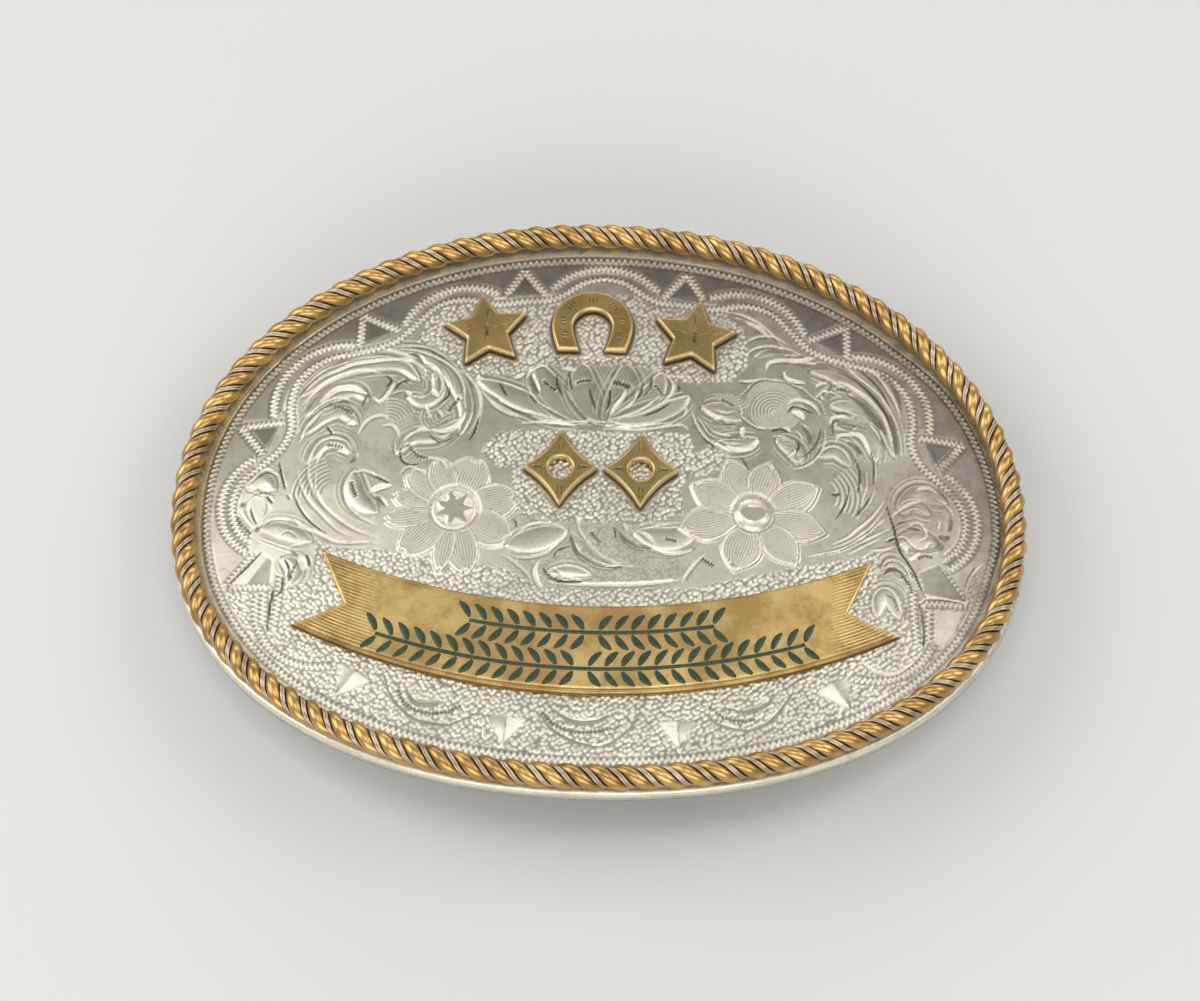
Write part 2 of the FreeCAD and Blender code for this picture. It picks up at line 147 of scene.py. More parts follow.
# The ribbon
RIBBON_HEIGHT = 0.6
RIBBON_ARC_RADIUS = 68.0
RIBBON_MIDDLE_X = -0.3
RIBBON_TOP_Y = -13.2
RIBBON_BOTTOM_Y = -23.6
RIBBON_WIDTH = RIBBON_TOP_Y - RIBBON_BOTTOM_Y
RIBBON_TAILS = {"top": 30.2, "notch": 27.3, "bottom": 33.0, "notch_share": 0.505}
RIBBON_BEVEL = 0.22
TAIL_GROOVES = 26
TAIL_GROOVE_DEPTH = 0.06
LINE_DEPTH = 0.08             # of the long lines beside the ribbon's edges
LOWER_LINE = 0.62             # distance from the lower edge
UPPER_LINE = 0.4              # distance from the upper edge, at the left tail only
# Rows of enamel laurel: first and last place on X, distance from the ribbon's upper edge, leaf
# length and pitch.
LAUREL_ROWS = [(-13.5, 12.8, 3.2, 2.1, 1.72), (-23.6, 22.6, 7.45, 2.1, 1.75)]
STEM_WIDTH = 0.46
ENAMEL_RISE = 0.07
ENAMEL_DEPTH = 0.12           # that it goes down into the ribbon

# Raised figures
FIGURE_HEIGHT = 1.0
STARS = {"star_left": (-13.3, 21.2, 4.9, math.radians(8)),
         "star_right": (10.3, 20.9, 4.9, math.radians(-8))}
STAR_INNER_SHARE = 0.5
FIGURE_BEVEL = 0.34
HORSESHOE = {"x": -1.3, "y": 21.7, "outer": 4.6, "wall": 2.4, "leg": 3.1, "spread": 0.75}
LOZENGES = {"lozenge_left": (-4.35, 3.5), "lozenge_right": (4.55, 3.4)}
LOZENGE_HALF = (4.1, 4.7)
LOZENGE_PINCH = 0.4
LOZENGE_HOLE = 1.3
# Groups of three small cuts on them: place from the figure's middle, and direction in degrees.
TALLY_WIDTH = 0.22
TALLY_HALF = 0.3
TALLY_GAP = 0.42
STAR_TALLIES = [(0, 2.2, 0), (-1.9, 0.4, 70), (1.9, 0.4, 110), (0, -0.4, 0)]
LOZENGE_TALLIES = [(0, 2.9, 0), (0, -2.9, 0), (-2.4, 0, 90), (2.4, 0, 90)]
HORSESHOE_TALLIES = [(-3.3, 0.6, 10), (3.3, 0.6, -10), (-2.4, 2.6, -40), (2.4, 2.6, 40), (0, 3.4, 90),
                     (-3.1, -1.3, 0), (3.1, -1.3, 0)]

# Flowers: middle, eye radius, whether the eye is a star, how much the petals are notched and
# pointed, and the petals by direction in degrees, length and width.
LEFT_FLOWER = {"x": -15.9, "y": -1.4, "eye": 2.5, "star": True, "notch": 0.06, "point": 0.0, "petals": [
    (71, 6.9, 5.2), (11, 7.2, 4.8), (-32, 7.5, 4.6), (-78, 8.3, 4.0), (-100, 8.0, 2.6),
    (-136, 7.9, 4.4), (-171, 7.9, 3.2), (165, 7.3, 3.2), (139, 7.4, 3.6), (110, 6.9, 3.6)]}
RIGHT_FLOWER = {"x": 17.05, "y": -1.05, "eye": 2.15, "star": False, "notch": 0.0, "point": 1.0, "petals": [
    (114, 7.6, 4.1), (74, 7.1, 4.2), (28, 8.5, 4.4), (-13, 8.5, 4.4), (-51, 7.8, 4.2),
    (-107, 7.7, 4.9), (-164, 8.8, 4.7), (155, 7.9, 4.5)]}

# Pillowed leaves under the strokes: width, how pale, and the points of the middle line.
LEAVES = [
    (3.2, 0.75, (-9.9, -5.9), (-7, -5.1), (-3.4, -4)),
    (3.2, 0.75, (4, -4.1), (7.5, -4.6), (10.8, -3.6)),
    (1.7, 0.8, (-5.6, -9.3), (-3.2, -8.8), (-0.6, -9.3)),
    (2.2, 0.85, (30.6, -12.6), (30.9, -10.4), (32, -9.8), (33.1, -12.6)),
    (1.6, 0.5, (31.2, -6.6), (32.4, -5.8), (33.9, -7.2)),
    (1.5, 0.5, (33.4, 0.4), (35, 1.4), (37, 0.6)),
    (2.8, 0.3, (-14, 15), (-10, 13), (-6, 10.9), (-2.4, 9.7)),
    (3.8, 0.2, (-7.2, 17), (-6.2, 14.4), (-3.6, 11.6), (-1.6, 9.7)),
    (3.8, 0.12, (-2.3, 17.2), (-2.2, 14.4), (-1, 11.6), (0.1, 9.6)),
    (3.9, 0.12, (2.6, 17.2), (2.6, 14.4), (1.6, 11.6), (0.3, 9.6)),
    (3.0, 0.35, (6.8, 16.4), (5.9, 14), (4, 11.8), (0.8, 9.8)),
    (2.6, 0.6, (9.8, 13.4), (8, 12), (5, 10.7), (1.5, 9.6)),
    (2.3, 0.35, (-34.1, 13.4), (-31, 16), (-27, 17.3), (-23, 17.1), (-20.6, 15)),
    (2.2, 0.5, (-33.2, 11), (-30.5, 13.4), (-28, 13.9), (-26.3, 12.6)),
    (2.0, 0.4, (-33.4, 8.4), (-31.5, 10.6), (-29.3, 11.2), (-27.3, 9.6)),
    (1.8, 0.45, (-32.6, 4.8), (-31.2, 7), (-29.3, 7.3), (-27.7, 5.8)),
    (2.4, 0.3, (-24.8, 19.4), (-20, 18.4), (-16.8, 15.4), (-15.2, 11.5), (-15.6, 8)),
    (1.9, 0.5, (-21.9, 13), (-20, 12.2), (-18.4, 13.6), (-19, 16.4)),
    (2.0, 0.4, (-22.6, 5.6), (-21, 7.6), (-18.2, 8), (-15.6, 10)),
    (2.6, 0.5, (-27.4, 3.8), (-26.8, 0.6), (-24.4, -1.8)),
    (2.2, 0.4, (23.4, 17.6), (26, 17.2), (29, 15.4), (31.6, 12), (32.9, 7.4)),
    (2.0, 0.5, (25.6, 13.4), (28, 13.3), (30, 11.6)),
    (2.2, 0.45, (25.8, 10.6), (28.3, 11), (30.3, 9.4), (30.9, 6.6)),
    (2.0, 0.45, (24.3, 6.7), (26.3, 7.5), (28.1, 5.8)),
    (2.2, 0.45, (19.6, 8.6), (21.4, 7.4), (22.2, 5.6)),
    (2.4, 0.5, (11.2, 12), (13.6, 11.7), (15.6, 10.6)),
    (2.2, 0.4, (12.8, 7.6), (15.2, 7.6), (17.6, 8.4)),
    (2.2, 0.5, (-39.4, 2.6), (-37.6, 3), (-36, 1.6)),
    (2.4, 0.6, (-37.4, -3.2), (-35, -3.4), (-31.4, -5)),
    (2.2, 0.75, (-34.6, -6.8), (-33, -8.2), (-33.4, -10.4)),
    (2.4, 0.5, (33, 1), (35.6, 3.2), (38.8, 2.2)),
    (2.4, 0.4, (32.8, -3.4), (35, -2.6), (37.6, -3)),
]
# Round flat middles of scrolls: place, radius, how pale.
DISCS = [((19.4, 12.9), 3.3, 0.45), ((-24.1, 9.2), 3.2, 0.4), ((35, -1.6), 1.3, 0.4)]

# Engraved strokes: width in millimetres, then the points of the middle line.
BROAD_STROKE = 0.5            # dark strokes from this width up are less black
BRIGHT_STROKES = [
    # left scroll
    (0.3, (-33.8, 14.7), (-32.5, 16.1), (-31.05, 17.05), (-28.7, 17.85)),
    (0.5, (-33.5, 14.2), (-31.8, 15.8), (-30.1, 16.6), (-28.2, 17.4), (-26, 17.7), (-23.9, 17.9),
     (-22.4, 17.85), (-21.3, 17.4), (-20.2, 16.5), (-20, 15.5)),
    (0.42, (-33.9, 12.3), (-32.8, 13.7), (-31.5, 14.95), (-29.7, 15.9), (-27.6, 16.5), (-26.2, 16.5),
     (-25.05, 16.1)),
    (0.5, (-23.5, 14.8), (-24.3, 13.2), (-25.1, 12.5), (-25.9, 13.1)),
    (0.9, (-31.8, 12.6), (-30.1, 14.1), (-28.6, 14.3), (-27.6, 14), (-26.5, 13.5)),
    (0.25, (-33.3, 10.5), (-32.2, 11.8), (-30.95, 12.7), (-29.5, 13.05), (-28.2, 12.7), (-27.2, 12)),
    (0.45, (-33.8, 7.6), (-33.3, 9.05), (-32.4, 10.3), (-31.5, 11.4), (-30.3, 12)),
    (0.5, (-28.6, 9.6), (-28.1, 9.8), (-27.6, 9.6)),
    (0.3, (-32.5, 5.05), (-32.1, 6.4), (-31.4, 7.5), (-30.4, 7.9), (-29.3, 7.8), (-28.2, 7.3),
     (-27.6, 6.3)),
    (0.35, (-31.7, 4.5), (-31.3, 5.9), (-30.4, 6.95)),
    (0.45, (-29.5, 6.3), (-28.8, 6.2), (-28.1, 5.8)),
    (0.4, (-27.3, 8.1), (-26.7, 9.6), (-25.8, 10.4), (-24.7, 10.7), (-23.7, 10.2)),
    (0.35, (-24.6, 9.4), (-23.5, 9.4), (-22.8, 8.6), (-22.5, 7.6)),
    (0.35, (-23.8, 19.1), (-21.6, 19), (-19.8, 18.4), (-18.2, 17.6), (-16.9, 16.6), (-16, 15.3),
     (-15.5, 13.8), (-15.4, 12.2), (-15.2, 11.1)),
    (0.35, (-16, 16.2), (-14.9, 15.2), (-14, 13.8), (-13.6, 12), (-13.7, 10)),
    (0.35, (-19.8, 16.9), (-18.7, 16.2), (-18.1, 15.1), (-18.05, 13.8), (-18.4, 12.8)),
    (0.3, (-21.2, 13.1), (-20.2, 12.9), (-19.3, 13.3)),
    (0.5, (-19.2, 13.8), (-18.8, 13.2), (-18.3, 12.8)),
    (0.4, (-22.2, 13.8), (-21.8, 13.4), (-21.4, 13.1)),
    (0.2, (-23.8, 13.4), (-23, 13.7), (-22.3, 13.8)),
    (0.6, (-18.9, 8.8), (-17.8, 8.4), (-16.4, 8.8), (-15.6, 9.7), (-15.2, 10.8)),
    (0.35, (-19.8, 12), (-19.5, 11.1), (-19.2, 10.3)),
    (0.3, (-18.4, 11.2), (-18, 10.7), (-17.7, 10.2)),
    (0.4, (-22.1, 7.2), (-21.1, 8.2), (-20, 8.8), (-19.3, 8.8)),
    (0.25, (-22.8, 7.2), (-22.9, 6.4), (-22.7, 5.6)),
    (0.35, (-19.9, 4.8), (-18.8, 5.1), (-17.8, 4.8), (-17.1, 4), (-16.9, 3)),
    (0.3, (-22.2, 3.1), (-21.6, 3.9), (-20.7, 4), (-19.3, 3)),
    # left stems and lobe
    (0.28, (-30.5, 7.8), (-31.7, 7.05), (-32.3, 5.9), (-32.5, 4.3), (-32.3, 2.7), (-31.4, .6),
     (-30, -1.05), (-28.7, -2.3), (-27.2, -3.5), (-25.6, -4.4)),
    (0.22, (-31.5, 4.5), (-31.6, 2.1), (-30.9, .2), (-29.8, -1.3), (-28.1, -2.7), (-26.4, -3.8),
     (-24.3, -4.7)),
    (0.22, (-33.8, 4.4), (-33.2, 2.1), (-32.1, 0), (-30.8, -1.5), (-29.8, -2.6), (-28.3, -3.9),
     (-26.6, -4.6)),
    (0.3, (-34, -1.5), (-32.7, -3.2), (-31.5, -3.6), (-29.8, -4.6), (-28.3, -5.2), (-25, -5.3),
     (-24.1, -5.5)),
    (0.25, (-27.3, 3.9), (-27.9, 2.9), (-28.3, 1.5), (-28, 0), (-27.3, -1.2), (-26, -2.3),
     (-24.3, -3.3)),
    (0.3, (-27.7, 3.3), (-26.6, 3.7), (-25.7, 3.5), (-24.7, 2.95)),
    (0.7, (-25.4, .95), (-24.2, 1.6), (-23.05, 1.7)),
    # left end
    (0.35, (-39.8, 2.6), (-38.9, 2.9), (-38.1, 3.9), (-37.4, 4.3), (-36.35, 4.2)),
    (0.8, (-39.4, 2.2), (-38.9, 2.0), (-38.2, 2.2)),
    (0.7, (-38.1, 2.2), (-37.4, 2.2), (-36.7, 1.6)),
    (0.28, (-38.6, .8), (-39.05, .1), (-39.05, -.8), (-38.5, -1.9), (-37.9, -3.05)),
    (0.2, (-36.8, .3), (-36.65, -.8), (-37.05, -1.75)),
    (0.35, (-39.9, -.6), (-39.3, -1.8), (-38.7, -2.5), (-37.9, -3.4)),
    (0.28, (-37.2, -3.3), (-36.9, -2.5), (-36.35, -2.1), (-35.3, -2), (-34.2, -2.25)),
    (0.25, (-34.1, -2.9), (-32.8, -3.2), (-31.5, -3.75), (-30, -4.6)),
    (0.2, (-35.3, -4.35), (-34.6, -3.65), (-33.8, -3.75), (-32.8, -4.6)),
    (0.3, (-34.2, -5.65), (-33.05, -5.2), (-31.65, -5.05)),
    (0.9, (-32.8, -6.8), (-32.35, -7.5), (-32.1, -8.6)),
    (0.3, (-34.7, -7.2), (-34.1, -8.35), (-33.9, -9.65)),
    # right scroll, the disc
    (0.2, (15.3, 13.5), (15.6, 14), (16.4, 14.9), (16.8, 15.5), (17.9, 16.2), (19.5, 16.2), (20.7, 16.1),
     (21.6, 15.7), (22.7, 15.3), (23.7, 14.3), (24.6, 13.7), (25, 12.7), (25.3, 11.7)),
    (0.25, (15.3, 13), (15.7, 12.1), (15.7, 11.3), (16.6, 10.5), (17.4, 10), (18.2, 9.9), (20, 10.2)),
    (0.3, (15.3, 15.8), (16.4, 15.8), (17.7, 16.1)),
    (0.35, (11.2, 12.4), (11.5, 11.9), (12.2, 11.2), (13, 10.8), (13.7, 11.05)),
    (0.3, (12.5, 11.9), (13.2, 11.6), (14.05, 11.5), (15, 11.8)),
    (0.2, (10.7, 10.8), (11.4, 9.9), (12.05, 8.8), (13, 8.3)),
    (0.3, (13, 8.1), (14, 7.6), (14.9, 7.55), (15.8, 7.7)),
    (0.55, (13.95, 7.25), (14.9, 6.95), (15.7, 6.9), (16.8, 7.2), (17.4, 7.9), (17.6, 8.3)),
    (0.6, (15.9, 9.9), (15.75, 9.3), (15.8, 8.7)),
    (0.42, (20.8, 13.15), (21.6, 13.7), (22.5, 13.8), (23.4, 13.5), (24.15, 12.85), (24.6, 12.1)),
    (0.7, (21.4, 12.2), (22.2, 12.0), (22.8, 11.4)),
    (0.4, (20.4, 10.2), (20.9, 10.0), (21.2, 9.6)),
    (0.22, (21.6, 10), (22.3, 9.3), (22.6, 8.3)),
    (0.32, (21.8, 7.3), (21.4, 6.7), (20.8, 6.4)),
    (0.18, (19.1, 8.85), (19.8, 9.05), (20.6, 8.95)),
    (0.25, (20.4, 19.4), (21.2, 19.7), (22.2, 19.8)),
    (0.6, (21.1, 18.6), (22.5, 19), (24, 19.5)),
    (0.5, (20.5, 17.4), (20.7, 16.6), (21.6, 16.2), (23, 16.1)),
    # right scroll, the leaf above it
    (0.35, (13.4, 24.9), (15.5, 24.5), (17.6, 23.5), (19.3, 22), (20.4, 20.6)),
    (0.6, (16.2, 23.6), (17.6, 22.9), (18.9, 21.6)),
    (0.3, (15.9, 20.6), (17.2, 21.6), (19.2, 21.9), (20.9, 20.9)),
    (0.3, (16.1, 18.7), (16.8, 19.9), (18.7, 20.6), (21.4, 20.3)),
    (0.5, (18.4, 17.3), (18.9, 18.4), (20.9, 18.9), (24.1, 18.7)),
    (0.3, (10.1, 11.6), (10.8, 9.6), (12, 8), (13.8, 7)),
    (0.25, (25.2, 10.8), (25, 8.4), (24, 6.4), (22.4, 5.2), (21, 5)),
    (0.25, (24, 14.2), (25.2, 15.3), (26.9, 14.7)),
    # right scroll, the outer leaves
    (0.28, (27.2, 19.1), (28.6, 17.7), (30, 16.6), (31.4, 15.3), (32.3, 13.7), (33.1, 12), (33.4, 10.5)),
    (0.38, (30, 18.9), (31.5, 17.4), (32.5, 15.8), (33.2, 14.4), (33.7, 12.6)),
    (0.38, (24.1, 15.6), (24.6, 16.1), (25.5, 16.4)),
    (0.3, (24.6, 14.6), (24.8, 14.3), (24.95, 14.1)),
    (0.55, (26, 16.2), (26.8, 16.4), (27.8, 16.1), (28.7, 15.5), (29.9, 14.7), (30.9, 13.6), (31.7, 12.4),
     (32.2, 11.05), (32.5, 9.9), (32.7, 8.8)),
    (0.38, (25.7, 11), (25.9, 11.7), (26.5, 12), (27.4, 12.05), (28.4, 11.9)),
    (0.18, (28.2, 10.5), (28.45, 10.7), (28.7, 10.9)),
    (0.28, (30.1, 11.4), (30.6, 10.8), (31.05, 10.2), (31.4, 9.3)),
    (0.5, (26.3, 8.8), (26.7, 9.6), (27.7, 9.9), (28.7, 9.9), (29.4, 9.3), (29.8, 8.3), (30.1, 7.4)),
    (0.38, (24.5, 7.2), (25.2, 7.9), (25.9, 8.2), (26.7, 8), (27.4, 7.4), (27.9, 6.3)),
    (0.18, (30.4, 7.6), (30.7, 6.6), (30.75, 5.4), (30.7, 4.2)),
    (0.2, (27.8, 2.6), (27.4, .8), (26.9, -.3)),
    # right stems
    (0.32, (31.7, 1.9), (30.5, 0), (29.5, -1.15), (28.4, -2.2), (27.4, -3.15), (25.6, -4.2)),
    (0.26, (31.6, .6), (30.1, -1.5), (29.05, -2.5), (28, -3.4), (25.6, -4.7)),
    (0.4, (31.6, -.45), (30.7, -1.5), (29.8, -2.5), (28.9, -3.2), (28.2, -3.8), (27.3, -4.4),
     (26.3, -4.9), (25.05, -5.3), (23.2, -5.8)),
    (0.26, (32.3, -1.5), (30.5, -2.6), (29.05, -3.5), (26.8, -4.9)),
    (0.24, (31.2, -2.9), (29.6, -3.8), (27.4, -5.3)),
    (0.2, (30.6, 3.2), (30, 1.5), (28.6, -.4)),
    (0.22, (29.6, 5.6), (29.7, 3.4), (28.9, 1)),
    (0.3, (32.7, -3.7), (31.6, -4.2), (30.1, -4.5)),
    # right end
    (0.32, (32.35, -.1), (33.3, .8), (34.5, 1.65), (35.9, 2.35), (36.6, 2.5)),
    (0.6, (35.3, 3.6), (36.6, 4.0), (37.6, 3.4)),
    (0.25, (37.6, 2.65), (38.6, 2.1), (39.2, 1.3), (39.5, .5)),
    (0.3, (32.8, -2.5), (33.8, -2.5), (34.5, -3.2), (35.2, -3.65), (36.1, -3.5), (36.6, -2.95),
     (37.3, -2.95)),
    (0.5, (35.5, -4.2), (34.9, -4.8), (34.35, -5.2)),
    (0.3, (37.9, .1), (37.8, -.5), (37.6, -1.2)),
    (0.3, (34.2, -1.0), (35.3, -.5), (36.1, -1.1), (36.2, -2.2), (35.3, -2.9)),
    (0.35, (31.1, -6.6), (31.8, -5.6), (33, -5.5), (34, -6.4), (34.6, -7.8)),
    (0.3, (30.1, -12), (30.2, -10), (31.1, -8.9), (32.2, -9.2), (33, -10.6), (33.4, -12.8)),
    (0.5, (33.4, -3.4), (33.9, -3.9), (34.1, -4.5)),
    (0.5, (28.5, -17.6), (30.2, -18.9), (32.2, -19), (34.3, -17.6)),
    (0.3, (42.6, -4.6), (41.3, -6.2), (40.6, -8), (40.5, -9.8)),
    # palmette
    (0.35, (-13.75, 14.25), (-13.05, 13), (-11.8, 11.6), (-10.4, 10.7), (-8.4, 10.15)),
    (0.25, (-12.15, 13.35), (-11.05, 12.1), (-9.1, 11.2), (-6.4, 10.3), (-4.3, 9.8)),
    (0.5, (-10, 15.3), (-9.4, 15.5), (-8.75, 16)),
    (0.5, (-14.3, 15.1), (-13.8, 15.2), (-13.2, 15)),
    (0.32, (-8.4, 15.3), (-8.2, 16), (-7.3, 16.65), (-6.25, 16.9)),
    (0.25, (-8.4, 14.4), (-7.85, 13.2), (-6.8, 11.9), (-5.2, 10.85), (-3.6, 9.95)),
    (0.5, (-4.6, 16.6), (-3.8, 16.5), (-3, 16.3)),
    (0.15, (-4.1, 13.9), (-3.6, 12.8), (-2.9, 11.75)),
    (0.5, (2.7, 13.9), (2.3, 12.8), (1.6, 11.75), (.9, 10.5)),
    (0.3, (3.9, 13.9), (3.75, 12.8), (2.9, 11.75), (1.8, 11)),
    (0.28, (6.8, 13.5), (5.5, 12.3), (3.9, 11), (1.4, 10.1), (.5, 9.8)),
    (0.36, (6.1, 16.4), (7.3, 15.9), (8, 14.8), (7.7, 13.5), (6.4, 12.1), (4.6, 11), (2.9, 10.3)),
    (0.25, (9.5, 12.1), (9.4, 11.3), (8.9, 10.5)),
    (0.3, (-9.1, 9.4), (-7, 9.6), (-4.3, 9.4), (-2.3, 9.2)),
    (0.25, (0, 9.1), (2.9, 9.25), (5.5, 9.6), (8.2, 10.1)),
    (0.36, (.2, 8.9), (4.6, 9), (7.9, 9.6), (9.1, 9.7), (9.8, 9.1)),
    # under the lozenges
    (0.3, (-8.8, -4.3), (-7.5, -3.3), (-5.8, -3), (-4.2, -3.3), (-3.3, -4)),
    (0.36, (-9.7, -6.7), (-8.7, -7.2), (-7.2, -7.2), (-5.7, -6.7), (-4.7, -5.8), (-3.7, -4.7)),
    (0.22, (-10.5, -6.8), (-8.8, -8), (-7.5, -9.3), (-6.7, -10.7)),
    (0.25, (-2.8, -4), (-1.5, -5.2), (-.2, -6.7), (1.2, -7.5), (2.5, -8), (4.7, -8.2)),
    (0.3, (-2.2, -2.2), (-2, -3.7), (-1, -5.3), (.3, -6.7), (1.7, -7.5), (2.8, -7.8)),
    (0.5, (-2.4, -2), (-2.2, -2.6), (-2.1, -3.1)),
    (0.25, (3.5, -3.3), (4.3, -4.5), (5.3, -5.3), (6.7, -5.8)),
    (0.55, (4.5, -3.8), (5.3, -4.3), (6.3, -5.3)),
    (0.25, (5, -3.5), (6.5, -3), (8.3, -2.7)),
    (0.45, (6.2, -5.8), (7.5, -6.3), (9.2, -6.2), (10.3, -5.8)),
    (0.5, (-6.3, -7.8), (-6.7, -8.7), (-6.5, -10), (-5.8, -11)),
    (0.25, (-4.8, -8.3), (-3.7, -9.3), (-2.2, -9.8), (-1.3, -10)),
    (0.45, (-5, -10.3), (-.3, -10.4), (4.5, -10.2), (9.3, -9.5)),
    (0.3, (9.3, -10), (9.8, -8.8), (10.8, -7.3), (11.8, -6.2)),
    (0.4, (2.7, -2.8), (3, -3.2), (3.3, -3.7)),
]
